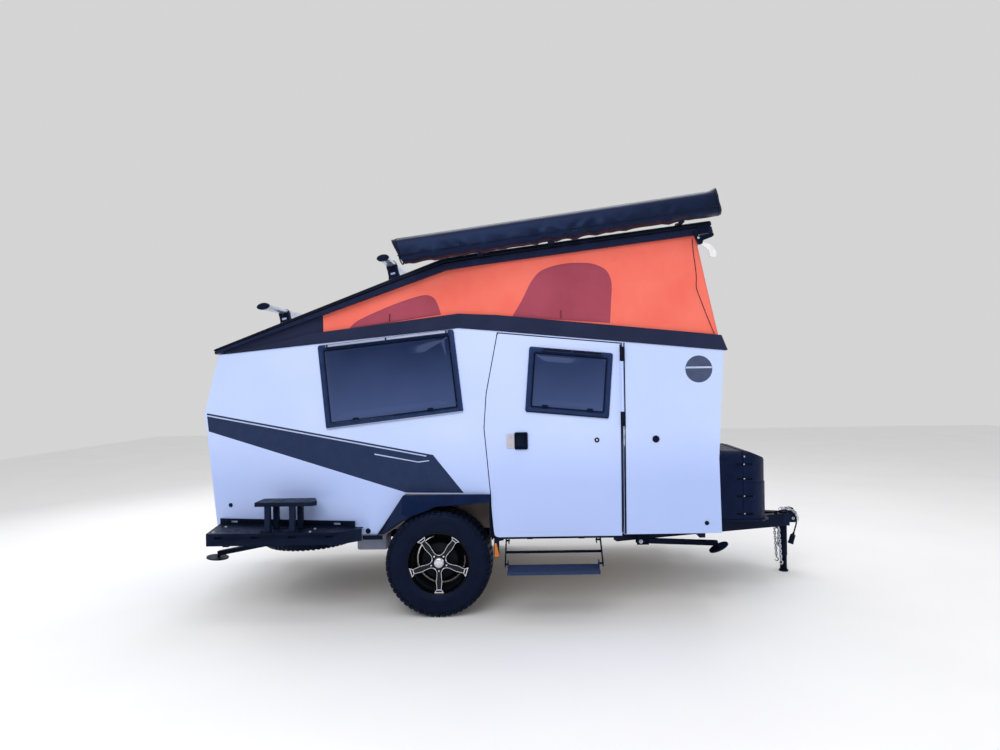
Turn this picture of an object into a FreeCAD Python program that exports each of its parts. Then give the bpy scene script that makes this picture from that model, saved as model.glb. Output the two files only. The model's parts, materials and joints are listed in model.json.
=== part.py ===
import FreeCAD, Part
import Sketcher
import math
import os

# Small pop-up camping trailer, seen as it parks: the roof is up, the fabric walls
# are stretched under it and the tongue stands on its jack.
# Millimetres. +X is forward (tongue), +Y is left, +Z is up, the floor is Z = 0.
# The origin is on the floor, in the middle of the jack's foot. Stations along the body
# are measured from the body's own datum and moved to that origin by place().

Vec = FreeCAD.Vector
DOC = FreeCAD.newDocument("CampingTrailer")
SHEET = DOC.addObject("Spreadsheet::Sheet", "Sizes")

# Driving dimensions: alias, value, meaning
SIZES = [
    ("wall", 35, "thickness of wall panels and door"),
    ("gap", 8, "gap round the door"),
    ("clear", 0.3, "clearance between seated pieces"),
    # side outline of the cabin
    ("rear_top_x", -2179, "rear wall, top edge"),
    ("rear_top_z", 1824, "rear wall, top edge"),
    ("rear_crease_x", -2280, "rear wall, crease"),
    ("rear_crease_z", 1413, "rear wall, crease"),
    ("rear_foot_x", -2208, "rear wall, lower edge"),
    ("sill_z", 550, "lower edge of the walls"),
    ("peak_x", -412, "peak of the wall top"),
    ("peak_z", 1975, "peak of the wall top"),
    ("front_top_x", 1400, "front wall, top edge"),
    ("front_top_z", 1797, "front wall, top edge"),
    ("front_crease_x", 1356, "front wall, crease"),
    ("front_crease_z", 1060, "front wall, crease"),
    ("front_foot_x", 1374, "front wall, lower edge"),
    # half widths of the cabin
    ("half_rear", 700, "half width at the rear crease"),
    ("half_rear_foot", 680, "half width at the rear foot"),
    ("half_top", 972, "half width at the top of the door"),
    ("half_belt", 985, "half width at the belt crease"),
    ("half_foot", 964, "half width at the sill"),
    # rear edge of the door and the facet beside it
    ("door_top_x", -142, "rear edge of the door at the top"),
    ("facet_x", -225, "upper corner of the small facet"),
    ("facet_z", 1525, "upper corner of the small facet"),
    ("door_knee_x", -243, "rear edge of the door at the belt"),
    ("door_knee_z", 1290, "rear edge of the door at the belt"),
    ("facet_low_x", -232, "lower corner of the small facet"),
    ("facet_low_z", 1160, "lower corner of the small facet"),
    ("door_low_x", -205, "rear edge of the door at the arch"),
    ("arch_z", 838, "top of the wheel arch"),
    ("door_foot_x", -153, "rear edge of the door at the sill"),
    ("door_front_x", 700, "front edge of the door"),
    ("knee_x", -588, "end of the rear crease"),
    ("knee_z", 1114, "end of the rear crease"),
    ("arch_rear_x", -797, "rear upper corner of the wheel arch"),
    ("arch_foot_x", -1005, "rear foot of the wheel arch"),
    # running gear
    ("axle_x", -565, "wheel axis"),
    ("wheel_z", 366, "radius of the loaded tyre"),
    ("track_half", 868, "middle of the tyre"),
    ("tyre_width", 230, "tyre width"),
    ("rim_radius", 205, "outer radius of the rim"),
    ("hub_radius", 59.7, "hub"),
    ("hub_long", 125, "length of the hub"),
    ("hub_edge", 4, "chamfer of the hub's outer edge"),
    # roof
    ("roof_thick", 42, "roof panel"),
    ("rim_height", 84, "edge profile of the roof"),
    ("rim_wide", 28, "edge profile of the roof, across"),
    ("roof_open", 12.7, "opening angle as it stands, degrees"),
    ("roof_over", 22, "overhang of the roof past the walls"),
    ("bar_half", 1000, "half length of the cross bars"),
    ("roof_lift", 8, "seal under the closed roof"),
    ("roof_rear_high", 45, "top of the edge profile above the wall, at the rear hinge"),
    ("skirt_high", 104, "height of the fabric skirt over the wall top"),
    # frame
    ("rail_half", 560, "outer face of the main rails"),
    ("rail_wide", 50, "width of the rails"),
    ("rail_high", 90, "height of the rails"),
    ("tongue_z", 485, "top of the tongue"),
    ("tongue_high", 100, "height of the tongue tubes"),
    ("tongue_wide", 60, "width of the tongue tubes"),
    ("nose_ahead", 34, "front face of the tongue's nose ahead of the jack axis"),
    ("socket_ahead", 40, "middle of the ball socket ahead of the nose"),
    ("chain_wire", 6, "wire of the safety chains"),
    ("cord_radius", 6, "wiring cord"),
    ("plug_radius", 19, "wiring plug"),
    ("ball", 50.8, "tow ball"),
    ("jack_x", 2150, "jack axis"),
    ("jack_radius", 31, "outer tube of the jack"),
    ("jack_foot_radius", 38, "round foot of the jack"),
    ("pad_radius", 76, "round foot of a stabiliser"),
    ("tray_z", 600, "deck of the rear tray"),
    ("tray_half", 1018, "outer edge of the rear tray"),
    ("tray_rear_x", -2116, "rear edge of the rear tray"),
    ("tray_front_x", -1100, "front tip of the rear tray"),
    ("stand_z", 806, "top of the stand on the tray"),
    # water tank under the floor
    ("tank_long", 222, "water tank, along the trailer"),
    ("tank_wide", 135, "water tank, across the trailer"),
    ("tank_high", 152, "water tank, height"),
    ("tank_round", 18, "rounding of the tank's corners"),
    # cover of the gas bottles
    ("cover_rear_x", 1415, "rear face of the bottle cover"),
    ("cover_front_x", 1926, "front face of the bottle cover"),
    ("cover_half", 330, "half width of the bottle cover"),
    ("cover_top_z", 1040, "top of the bottle cover at the rear"),
    ("cover_round", 150, "rounding of the cover's front corners, in plan"),
    ("cover_crown", 80, "rounding of the cover's upper side edges"),
    ("cover_seam_x", 1732, "seam round the cover"),
]


def write_sizes():
    """Fill the spreadsheet: name, value and meaning, one size a row."""
    for row, (alias, number, meaning) in enumerate(SIZES, start=1):
        SHEET.set("A%d" % row, meaning)
        SHEET.set("B%d" % row, str(number))
        SHEET.setAlias("B%d" % row, alias)
    DOC.recompute()


def size(alias):
    """Value of one named size."""
    return float(SHEET.get(alias))


OUT = {}


def keep(label, obj):
    """Register an object as a finished piece under its own label."""
    obj.Label = label
    OUT[label] = obj
    return obj


def dimension(obj, prop, value):
    """Give a property a number, or tie it to sizes of the sheet by an expression."""
    if isinstance(value, str):
        obj.setExpression(prop, value)
    else:
        setattr(obj, prop, value)


def place(point):
    """Point of the body's stations in the part's own frame."""
    return Vec(point[0] - size("jack_x"), point[1], point[2])


def box(name, length, width, height, corner):
    """Box by its three sizes and its lowest corner."""
    item = DOC.addObject("Part::Box", name)
    dimension(item, "Length", length)
    dimension(item, "Width", width)
    dimension(item, "Height", height)
    item.Placement = FreeCAD.Placement(place(corner), FreeCAD.Rotation())
    return item


def span(name, x0, x1, y0, y1, z0, z1):
    """Box between two corners."""
    return box(name, x1 - x0, y1 - y0, z1 - z0, (x0, y0, z0))


def rod(name, start, end, radius):
    """Round bar between two points."""
    a, b = place(start), place(end)
    item = DOC.addObject("Part::Cylinder", name)
    dimension(item, "Radius", radius)
    item.Height = (b - a).Length
    item.Placement = FreeCAD.Placement(a, FreeCAD.Rotation(Vec(0, 0, 1), b - a))
    return item


def prism(name, points, along, length=None):
    """Closed polygon pushed along a vector, by its length or by a named size."""
    outline = DOC.addObject("Part::Polygon", name + "_outline")
    outline.Nodes = [place(p) for p in points]
    outline.Close = True
    item = DOC.addObject("Part::Extrusion", name)
    item.Base = outline
    item.DirMode = "Custom"
    item.Dir = Vec(*along)
    dimension(item, "LengthFwd", length or Vec(*along).Length)
    item.Solid = True
    item.FaceMakerClass = "Part::FaceMakerBullseye"
    return item


def fuse(name, shapes, refine=True):
    """Pieces joined into one solid."""
    item = DOC.addObject("Part::MultiFuse", name)
    item.Shapes = shapes
    item.Refine = refine
    return item


def cut(name, base, tools):
    """Base less its tools."""
    item = DOC.addObject("Part::Cut", name)
    item.Base = base
    item.Tool = tools[0] if len(tools) == 1 else fuse(name + "_tools", tools, False)
    item.Refine = True
    return item


def common(name, shapes):
    """What the pieces share."""
    item = DOC.addObject("Part::MultiCommon", name)
    item.Shapes = shapes
    item.Refine = True
    return item


def ring(name, centre, outer, inner, height, axis):
    """Round tube about an axis, from its centre point on."""
    a = Vec(*centre)
    b = a + Vec(*axis) * height
    over = Vec(*axis) * 5
    big = rod(name + "_outer", a, b, outer)
    small = rod(name + "_inner", a - over, b + over, inner)
    return cut(name, big, [small])


def mirror_y(name, source):
    """Copy of a piece on the other side of the middle plane."""
    item = DOC.addObject("Part::Mirroring", name)
    item.Source = source
    item.Normal = Vec(0, 1, 0)
    item.Base = Vec(0, 0, 0)
    return item


def origin_plane(body, role):
    """Origin plane of a body, by its role."""
    return next(item for item in body.Origin.OriginFeatures if item.Role == role)


def sketch_on(body, name, role):
    """Sketch on one of the body's own origin planes."""
    sketch = body.newObject("Sketcher::SketchObject", name)
    sketch.AttachmentSupport = [(origin_plane(body, role), "")]
    sketch.MapMode = "FlatFace"
    return sketch


def limit(sketch, name, constraint, expression):
    """Driving dimension of a sketch, tied to the sheet."""
    number = sketch.addConstraint(constraint)
    sketch.renameConstraint(number, name)
    sketch.setExpression("Constraints." + name, expression)


def rectangle(sketch, long, wide):
    """Rectangle about the sketch's origin between two named sizes."""
    a, b = size(long) / 2, size(wide) / 2
    ends = [Vec(-a, -b, 0), Vec(a, -b, 0), Vec(a, b, 0), Vec(-a, b, 0)]
    for start, end in zip(ends, ends[1:] + ends[:1]):
        sketch.addGeometry(Part.LineSegment(start, end), False)
    for k in range(4):
        sketch.addConstraint(Sketcher.Constraint("Coincident", k, 2, (k + 1) % 4, 1))
    for k, kind in enumerate(("Horizontal", "Vertical", "Horizontal", "Vertical")):
        sketch.addConstraint(Sketcher.Constraint(kind, k))
    sketch.addConstraint(Sketcher.Constraint("Symmetric", 0, 1, 2, 1, -1, 1))
    limit(sketch, "along", Sketcher.Constraint("DistanceX", 0, 1, 0, 2, 2 * a), "Sizes." + long)
    limit(sketch, "across", Sketcher.Constraint("DistanceY", 1, 1, 1, 2, 2 * b), "Sizes." + wide)


def circle(sketch, radius):
    """Circle about the sketch's origin with a named radius."""
    sketch.addGeometry(Part.Circle(Vec(0, 0, 0), Vec(0, 0, 1), size(radius)), False)
    sketch.addConstraint(Sketcher.Constraint("Coincident", 0, 3, -1, 1))
    limit(sketch, "round", Sketcher.Constraint("Radius", 0, size(radius)), "Sizes." + radius)


def pad(body, name, sketch, length):
    """Sketch pushed up by a named length."""
    item = body.newObject("PartDesign::Pad", name)
    item.Profile = sketch
    item.setExpression("Length", "Sizes." + length)
    return item


def edges_where(obj, test):
    """Numbers of an object's edges that pass a test."""
    DOC.recompute()
    return [number for number, edge in enumerate(obj.Shape.Edges, start=1) if test(edge)]


def rounded(name, base, radius, test):
    """Base with some of its edges rounded by one radius."""
    item = DOC.addObject("Part::Fillet", name)
    item.Base = base
    item.Edges = [(number, radius, radius) for number in edges_where(base, test)]
    return item


def runs_along(edge, axis):
    """Whether a straight edge runs along an axis."""
    a, b = edge.Vertexes[0].Point, edge.Vertexes[-1].Point
    return (b - a).Length > 1 and abs((b - a).normalize().dot(axis)) > 0.999


# Cabin

def corners():
    """Named corners of the right wall, outer face."""
    return {
        "rear_top": (size("rear_top_x"), -half_rear_top(), size("rear_top_z")),
        "rear_crease": (size("rear_crease_x"), -size("half_rear"), size("rear_crease_z")),
        "rear_foot": (size("rear_foot_x"), -size("half_rear_foot"), size("sill_z")),
        "peak": (size("peak_x"), -upper_rear(size("peak_x"), size("peak_z")), size("peak_z")),
        "door_top": (size("door_top_x"), -size("half_top"), top_edge(size("door_top_x"))),
        "facet": (size("facet_x"), -lean(size("facet_z")), size("facet_z")),
        "knee": (size("knee_x"), -half_knee(), size("knee_z")),
        "door_knee": (size("door_knee_x"), -size("half_belt"), size("door_knee_z")),
        "facet_low": (size("facet_low_x"), -lean(size("facet_low_z")), size("facet_low_z")),
        "door_low": (size("door_low_x"), -lean(size("arch_z")), size("arch_z")),
        "arch_rear": (size("arch_rear_x"), -side_low(size("arch_rear_x"), size("arch_z")), size("arch_z")),
        "arch_foot": (size("arch_foot_x"), -side_low(size("arch_foot_x"), size("sill_z")), size("sill_z")),
    }


def top_edge(x):
    """Height of the wall top at a station forward of the peak."""
    share = (x - size("peak_x")) / (size("front_top_x") - size("peak_x"))
    return size("peak_z") + share * (size("front_top_z") - size("peak_z"))


def belt(x):
    """Height of the belt crease forward of the door's rear edge."""
    share = (x - size("door_knee_x")) / (size("front_crease_x") - size("door_knee_x"))
    return size("door_knee_z") + share * (size("front_crease_z") - size("door_knee_z"))


def lean(z):
    """Half width of the wall at the door's rear edge, by height."""
    knee = size("door_knee_z")
    if z > knee:
        share = (z - knee) / (top_edge(size("door_top_x")) - knee)
        return size("half_belt") + share * (size("half_top") - size("half_belt"))
    share = (knee - z) / (knee - size("sill_z"))
    return size("half_belt") + share * (size("half_foot") - size("half_belt"))


def side_low(x, z):
    """Half width of the lower rear panel, a plane through three corners."""
    a = Vec(size("rear_crease_x"), size("half_rear"), size("rear_crease_z"))
    b = Vec(size("knee_x"), half_knee(), size("knee_z"))
    c = Vec(size("rear_foot_x"), size("half_rear_foot"), size("sill_z"))
    return plane_half(a, b, c, x, z)


def plane_half(a, b, c, x, z):
    """Half width at a station and height on the plane through three corners."""
    n = (b - a).cross(c - a)
    return a.y - (n.x * (x - a.x) + n.z * (z - a.z)) / n.y


def upper_rear(x, z):
    """Half width of the upper rear panel, a plane that meets the door's upper edge."""
    a = Vec(size("rear_crease_x"), size("half_rear"), size("rear_crease_z"))
    b = Vec(size("door_top_x"), size("half_top"), top_edge(size("door_top_x")))
    c = Vec(size("facet_x"), lean(size("facet_z")), size("facet_z"))
    return plane_half(a, b, c, x, z)


def half_knee():
    """Half width where the rear crease ends."""
    return upper_rear(size("knee_x"), size("knee_z"))


def half_rear_top():
    """Half width at the rear top edge."""
    return upper_rear(size("rear_top_x"), size("rear_top_z"))


def facet_panel(name, triangles, thick):
    """Wall of flat facets, each pushed inward by a thickness or a named size."""
    named = isinstance(thick, str)
    along = (0, size(thick) if named else thick, 0)
    parts = []
    for number, triangle in enumerate(triangles):
        length = "Sizes." + thick if named else None
        parts.append(prism("%s_facet%d" % (name, number), triangle, along, length))
    return fuse(name, parts)


def window_opening(name, quad, y0, y1):
    """Straight opening through a wall, from four X, Z corners."""
    return prism(name, [(x, y0, z) for x, z in quad], (0, y1 - y0, 0))


def grow(quad, by):
    """Four X, Z corners moved out from their middle."""
    cx = sum(p[0] for p in quad) / len(quad)
    cz = sum(p[1] for p in quad) / len(quad)
    return [(x + math.copysign(by, x - cx), z + math.copysign(by, z - cz)) for x, z in quad]


REAR_WINDOW = [(-1392, 1860), (-472, 1950), (-400, 1424), (-1326, 1334)]
DOOR_WINDOW = [(88, 1826), (631, 1774), (598, 1356), (55, 1408)]


def rear_side_wall():
    """Wall behind the door with its window opening and the wheel arch."""
    c = corners()
    order = [
        ("rear_crease", "knee", "facet"),
        ("rear_crease", "facet", "door_top"),
        ("rear_crease", "door_top", "peak"),
        ("rear_crease", "peak", "rear_top"),
        ("facet", "knee", "door_knee"),
        ("door_knee", "knee", "facet_low"),
        ("facet_low", "knee", "door_low"),
        ("knee", "arch_rear", "door_low"),
        ("knee", "rear_crease", "arch_rear"),
        ("rear_crease", "arch_foot", "arch_rear"),
        ("rear_crease", "rear_foot", "arch_foot"),
    ]
    triangles = [[c[k] for k in names] for names in order]
    shell = facet_panel("rear_wall_shell", triangles, "wall")
    hole = window_opening("rear_window_hole", REAR_WINDOW, -1100, -500)
    return cut("side_rear_panel", shell, [hole])


def front_outline(x0, x1):
    """Corners of a wall strip between two stations, upper and lower facet."""
    def point(x, z):
        return (x, -wide(x, z), z)
    upper = [point(x0[0], top_edge(x0[0])), point(x1[0], top_edge(x1[0])), point(x1[1], belt(x1[1])),
             point(x0[1], belt(x0[1]))]
    lower = [point(x0[1], belt(x0[1])), point(x1[1], belt(x1[1])), point(x1[2], size("sill_z")),
             point(x0[2], size("sill_z"))]
    return upper, lower


def wide(x, z):
    """Half width of the wall from the door forward."""
    crease = belt(x)
    if z >= crease:
        share = (z - crease) / (top_edge(x) - crease)
        return size("half_belt") + share * (size("half_top") - size("half_belt"))
    share = (crease - z) / (crease - size("sill_z"))
    return size("half_belt") + share * (size("half_foot") - size("half_belt"))


def strip(name, x0, x1, thick):
    """Faceted strip of wall: four triangles between two edges."""
    upper, lower = front_outline(x0, x1)
    triangles = []
    for quad in (upper, lower):
        triangles.append([quad[0], quad[1], quad[2]])
        triangles.append([quad[0], quad[2], quad[3]])
    return facet_panel(name, triangles, thick)


def front_side_wall(name):
    """Wall ahead of the door."""
    front = (size("front_top_x"), size("front_crease_x"), size("front_foot_x"))
    back = (size("door_front_x") + size("gap"),) * 3
    return strip(name, back, front, "wall")


def door_panel(name, inset):
    """Door between its rear and front edges, set in by the door gap."""
    back = (size("door_top_x"), size("door_knee_x"), size("door_foot_x"))
    front = (size("door_front_x"),) * 3
    leaf = strip(name + "_leaf", tuple(x + inset for x in back), front, "wall")
    trim_top = prism(name + "_top", [
        (-400, -1100, top_edge(-400) - 16), (1000, -1100, top_edge(1000) - 16),
        (1000, -1100, 2300), (-400, -1100, 2300)], (0, 300, 0))
    return cut(name, leaf, [trim_top])


def middle_facets():
    """Triangles of the wall that closes the door's place on the side without a door."""
    c = corners()
    x = size("door_front_x") + size("gap")
    c["front_top"] = (x, -size("half_top"), top_edge(x))
    c["front_belt"] = (x, -size("half_belt"), belt(x))
    c["front_foot"] = (x, -size("half_foot"), size("sill_z"))
    c["door_foot"] = (size("door_foot_x"), -size("half_foot"), size("sill_z"))
    order = [
        ("door_top", "front_top", "front_belt"),
        ("door_top", "front_belt", "facet"),
        ("facet", "front_belt", "door_knee"),
        ("door_knee", "front_belt", "facet_low"),
        ("facet_low", "front_belt", "front_foot"),
        ("facet_low", "front_foot", "door_low"),
        ("door_low", "front_foot", "door_foot"),
    ]
    return [[c[k] for k in names] for names in order]


def roof_hinge():
    """Fixed half of the roof's rear hinge: barrel and leaf on the rear wall."""
    axis = roof_axis()
    reach = half_rear_top() - 60
    barrel = rod("roof_hinge_barrel", (axis.x, -reach, axis.z), (axis.x, reach, axis.z), 7)
    slope = (size("rear_top_x") - size("rear_crease_x")) / (size("rear_top_z") - size("rear_crease_z"))
    top, low = size("rear_top_z") - 0.5, size("rear_top_z") - 42
    face_low = size("rear_top_x") - slope * (size("rear_top_z") - low)
    leaf = prism("roof_hinge_leaf", [
        (size("rear_top_x") - 0.1, -reach, top), (face_low, -reach, low), (face_low - 3, -reach, low),
        (size("rear_top_x") - 6, -reach, top)], (0, 2 * reach, 0))
    return [barrel, leaf]


def build_walls():
    """Side, rear and front walls, lintel and floor."""
    right_rear = keep("wall_right_rear", rear_side_wall())
    left_mid = facet_panel("left_mid_panel", middle_facets(), "wall")
    left = fuse("left_source", [right_rear, left_mid, front_side_wall("left_front_panel")])
    left_open = cut("left_open", left, [window_opening("left_window_hole", DOOR_WINDOW, -1100, -800)])
    keep("wall_left", mirror_y("left_wall", left_open))
    inner_rear = size("half_rear") - size("wall") - size("clear")
    foot_rear = size("half_rear_foot") - size("wall") - size("clear")
    top_rear = half_rear_top() - size("wall") - size("clear")
    t = size("wall")
    profile = prism("rear_profile", [
        (size("rear_top_x"), -900, size("rear_top_z")), (size("rear_crease_x"), -900, size("rear_crease_z")),
        (size("rear_foot_x"), -900, size("sill_z")), (size("rear_foot_x") + t, -900, size("sill_z")),
        (size("rear_crease_x") + t, -900, size("rear_crease_z")), (size("rear_top_x") + t, -900, size("rear_top_z"))],
        (0, 1800, 0))
    face = prism("rear_face", [
        (-2400, -top_rear, size("rear_top_z")), (-2400, -inner_rear, size("rear_crease_z")),
        (-2400, -foot_rear, size("sill_z")), (-2400, foot_rear, size("sill_z")),
        (-2400, inner_rear, size("rear_crease_z")), (-2400, top_rear, size("rear_top_z"))], (400, 0, 0))
    panel = common("rear_wall_panel", [profile, face])
    keep("wall_rear", fuse("rear_wall_with_hinge", [panel] + roof_hinge()))
    front = prism("front_profile", [
        (size("front_top_x"), -1000, size("front_top_z")), (size("front_crease_x"), -1000, size("front_crease_z")),
        (size("front_foot_x"), -1000, size("sill_z")), (size("front_foot_x") - t, -1000, size("sill_z")),
        (size("front_crease_x") - t, -1000, size("front_crease_z")),
        (size("front_top_x") - t, -1000, size("front_top_z"))], (0, 2000, 0))
    belt_in = size("half_belt") - t - size("clear")
    foot_in = size("half_foot") - t - size("clear")
    top_in = size("half_top") - t - size("clear")
    front_face = prism("front_face", [
        (1200, -top_in, size("front_top_z")), (1200, -belt_in, size("front_crease_z")),
        (1200, -foot_in, size("sill_z")), (1200, foot_in, size("sill_z")),
        (1200, belt_in, size("front_crease_z")), (1200, top_in, size("front_top_z"))], (400, 0, 0))
    keep("wall_front", common("front_wall_panel", [front, front_face]))
    lintel = prism("lintel_bar", [
        (size("door_top_x"), -size("half_top"), top_edge(size("door_top_x"))),
        (size("door_front_x") + size("gap"), -size("half_top"), top_edge(size("door_front_x") + size("gap"))),
        (size("door_front_x") + size("gap"), -size("half_top"), top_edge(size("door_front_x") + size("gap")) - 8),
        (size("door_top_x"), -size("half_top"), top_edge(size("door_top_x")) - 8)], (0, t, 0))
    keep("wall_right_front", fuse("side_front_with_lintel", [front_side_wall("side_front_panel"), lintel] + fixed_hinge()))


def floor_plan(grow_by):
    """Half plan of the floor, from the rear to the front."""
    return [
        (size("rear_foot_x") + size("wall") + 1, size("half_rear_foot") - size("wall") - 4 + grow_by),
        (size("arch_foot_x"), side_low(size("arch_foot_x"), size("sill_z")) - size("wall") - 4 + grow_by),
        (size("arch_foot_x"), 700),
        (size("door_low_x") + 8, 700),
        (size("door_low_x") + 8, size("half_foot") - size("wall") - 3 + grow_by),
        (size("front_foot_x") - size("wall") - 4, size("half_foot") - size("wall") - 3 + grow_by),
    ]


def build_floor():
    """Cabin floor, notched round both wheels."""
    half = floor_plan(0)
    plan = [(x, -y, size("sill_z")) for x, y in half] + [(x, y, size("sill_z")) for x, y in reversed(half)]
    keep("floor", prism("floor_board", plan, (0, 0, 40)))


def well_panel(name):
    """Wheel well: top, inner side, rear slope and front side, in 4 mm sheet."""
    t = 4
    y0, y1 = -(half_knee() + 36), -704
    top = size("arch_z") - size("clear")
    front = size("door_low_x") - 2
    outline = [
        (size("arch_foot_x") + 5, size("sill_z")), (size("arch_rear_x") + 5, top),
        (front, top), (front, size("sill_z")),
    ]
    outer = prism(name + "_outer", [(x, y0, z) for x, z in outline], (0, y1 - y0, 0))
    inner_pts = [
        (size("arch_foot_x") + 5 + 6, size("sill_z") - 5), (size("arch_rear_x") + 8, top - t),
        (front - t, top - t), (front - t, size("sill_z") - 5),
    ]
    inner = prism(name + "_inner", [(x, y0 - 5, z) for x, z in inner_pts], (0, y1 - y0 + 5 - t, 0))
    slant = prism(name + "_slant", [
        (size("arch_foot_x") - 90, y0 - 5, size("sill_z") - 5),
        (size("arch_foot_x") - 90, -(side_low(size("arch_foot_x"), size("sill_z")) - 4), size("sill_z") - 5),
        (size("arch_rear_x") + 60, -(half_knee() + 37), size("sill_z") - 5),
        (size("arch_rear_x") + 60, y0 - 5, size("sill_z") - 5)], (0, 0, 400))
    return cut(name, outer, [inner, slant])


def flare_slope(y):
    """Sloping rear leg of the flare: follows the wall's lower edge inward to the sill."""
    top = [(size("arch_rear_x") + 5, size("arch_z") - size("clear")), (size("arch_rear_x") + 62, 700)]
    foot = [(size("arch_foot_x") + 6, size("sill_z")), (size("arch_foot_x") + 62, size("sill_z"))]
    foot_y = -(side_low(size("arch_foot_x"), size("sill_z")) + 4)
    a, b = (top[0][0], y - 6, top[0][1]), (top[1][0], y - 6, top[1][1])
    c, d = (foot[1][0], foot_y, foot[1][1]), (foot[0][0], foot_y, foot[0][1])
    return facet_panel("flare_slope", [[a, b, c], [a, c, d]], 14)


def build_wells():
    """Wheel wells and the black flare plates over them."""
    well = well_panel("well")
    y = -(half_knee() + 42)
    z = size("arch_z") - size("clear")
    arc = [(-793, z), (-212, z), (-208, 789), (-458, 773), (-640, 745), (-735, 700), (-800, 712)]
    flare = prism("flare_plate", [(px, y - 6, pz) for px, pz in arc], (0, 12, 0))
    slope = flare_slope(y)
    right = fuse("wheel_arch", [well, flare, slope])
    keep("wheel_arch_right", right)
    keep("wheel_arch_left", mirror_y("wheel_arch_left_copy", right))


# Windows

def plane_window(name, quad, half_at):
    """Pane parallel to the facet that carries it: a prism between two offset faces."""
    outer = grow(quad, 14)
    face = [(x, -half_at(x, z) - 22 - size("clear"), z) for x, z in outer]
    shell = [[face[0], face[1], face[2]], [face[0], face[2], face[3]]]
    return facet_panel(name, shell, 22)


def build_windows():
    """Three windows: one behind the door, one in the door, their likes on the left."""
    rear = plane_window("rear_pane", REAR_WINDOW, upper_rear)
    door = plane_window("door_pane", DOOR_WINDOW, wide)
    keep("door_window", door)
    left = [mirror_y("window_left_rear", rear), mirror_y("window_left_front", door)]
    keep("side_windows", fuse("window_group", [rear] + left))


# Door

def build_door():
    """Door leaf, hinge, latch."""
    leaf = door_panel("door_panel", size("gap"))
    opening = window_opening("door_window_hole", DOOR_WINDOW, -1100, -800)
    floor_gap = span("door_foot_trim", -400, 1000, -1100, -800, 500, size("sill_z") + 6)
    keep("door", cut("door_open", leaf, [opening, floor_gap]))
    x = size("door_front_x") + size("gap") / 2
    y = hinge_y()
    low, high = HINGE_MOVING
    barrel = rod("hinge_barrel", (x, y, low), (x, y, high), 7)
    leaf = on_face("hinge_leaf", size("door_front_x") - 34, size("door_front_x"), low, high, 2.6)
    web = hinge_web("hinge_web", size("door_front_x") - 8, x, low, high)
    keep("door_hinge", fuse("hinge_moving", [barrel, leaf, web]))
    plate = on_face("latch_plate", -28, 22, 1150, 1250, 14)
    paddle = on_face("latch_paddle", 22, 62, 1155, 1245, 22)
    keep("door_latch", fuse("latch", [plate, paddle]))


HINGE_MOVING = (1390, 1730)
HINGE_FIXED = ((1290, 1389.7), (1730.3, 1830))


def hinge_y():
    """Hinge pin stands just outside the widest face of the door."""
    return -(size("half_belt") + 9)


def on_face(name, x0, x1, z0, z1, proud):
    """Flat piece on the wall's face, from the clearance out to its own height."""
    near, far = size("clear"), proud
    pts = [(x0, -(wide(x0, z0) + near), z0), (x0, -(wide(x0, z1) + near), z1),
           (x0, -(wide(x0, z1) + far), z1), (x0, -(wide(x0, z0) + far), z0)]
    return prism(name, pts, (x1 - x0, 0, 0))


def hinge_web(name, x0, x1, z0, z1):
    """Web between the wall's face and the hinge pin."""
    y = hinge_y()
    pts = [(x0, -(wide(x0, z0) + size("clear")), z0), (x0, -(wide(x0, z1) + size("clear")), z1), (x0, y, z1), (x0, y, z0)]
    return prism(name, pts, (x1 - x0, 0, 0))


def fixed_hinge():
    """Fixed knuckles of the door hinge on the wall ahead of the door."""
    x = size("door_front_x") + size("gap") / 2
    y = hinge_y()
    pieces = []
    for number, (low, high) in enumerate(HINGE_FIXED):
        pieces.append(rod("hinge_knuckle%d" % number, (x, y, low), (x, y, high), 7))
        wall_x = size("door_front_x") + size("gap")
        pts = [(x, y, low), (x, y, high), (x, -(wide(wall_x, high) - 1), high), (x, -(wide(wall_x, low) - 1), low)]
        pieces.append(prism("hinge_web_fixed%d" % number, pts, (14, 0, 0)))
    return pieces


# Frame

def tube(name, start, end, wide_y, high):
    """Rectangular tube between two points that lie on its middle line."""
    a, b = Vec(*start), Vec(*end)
    run = b - a
    side = Vec(0, 0, 1).cross(run).normalize() * (wide_y / 2.0)
    up = Vec(0, 0, high / 2.0)
    ends = [a + side + up, a - side + up, a - side - up, a + side - up]
    return prism(name, [(p.x, p.y, p.z) for p in ends], (run.x, run.y, run.z))


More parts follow.
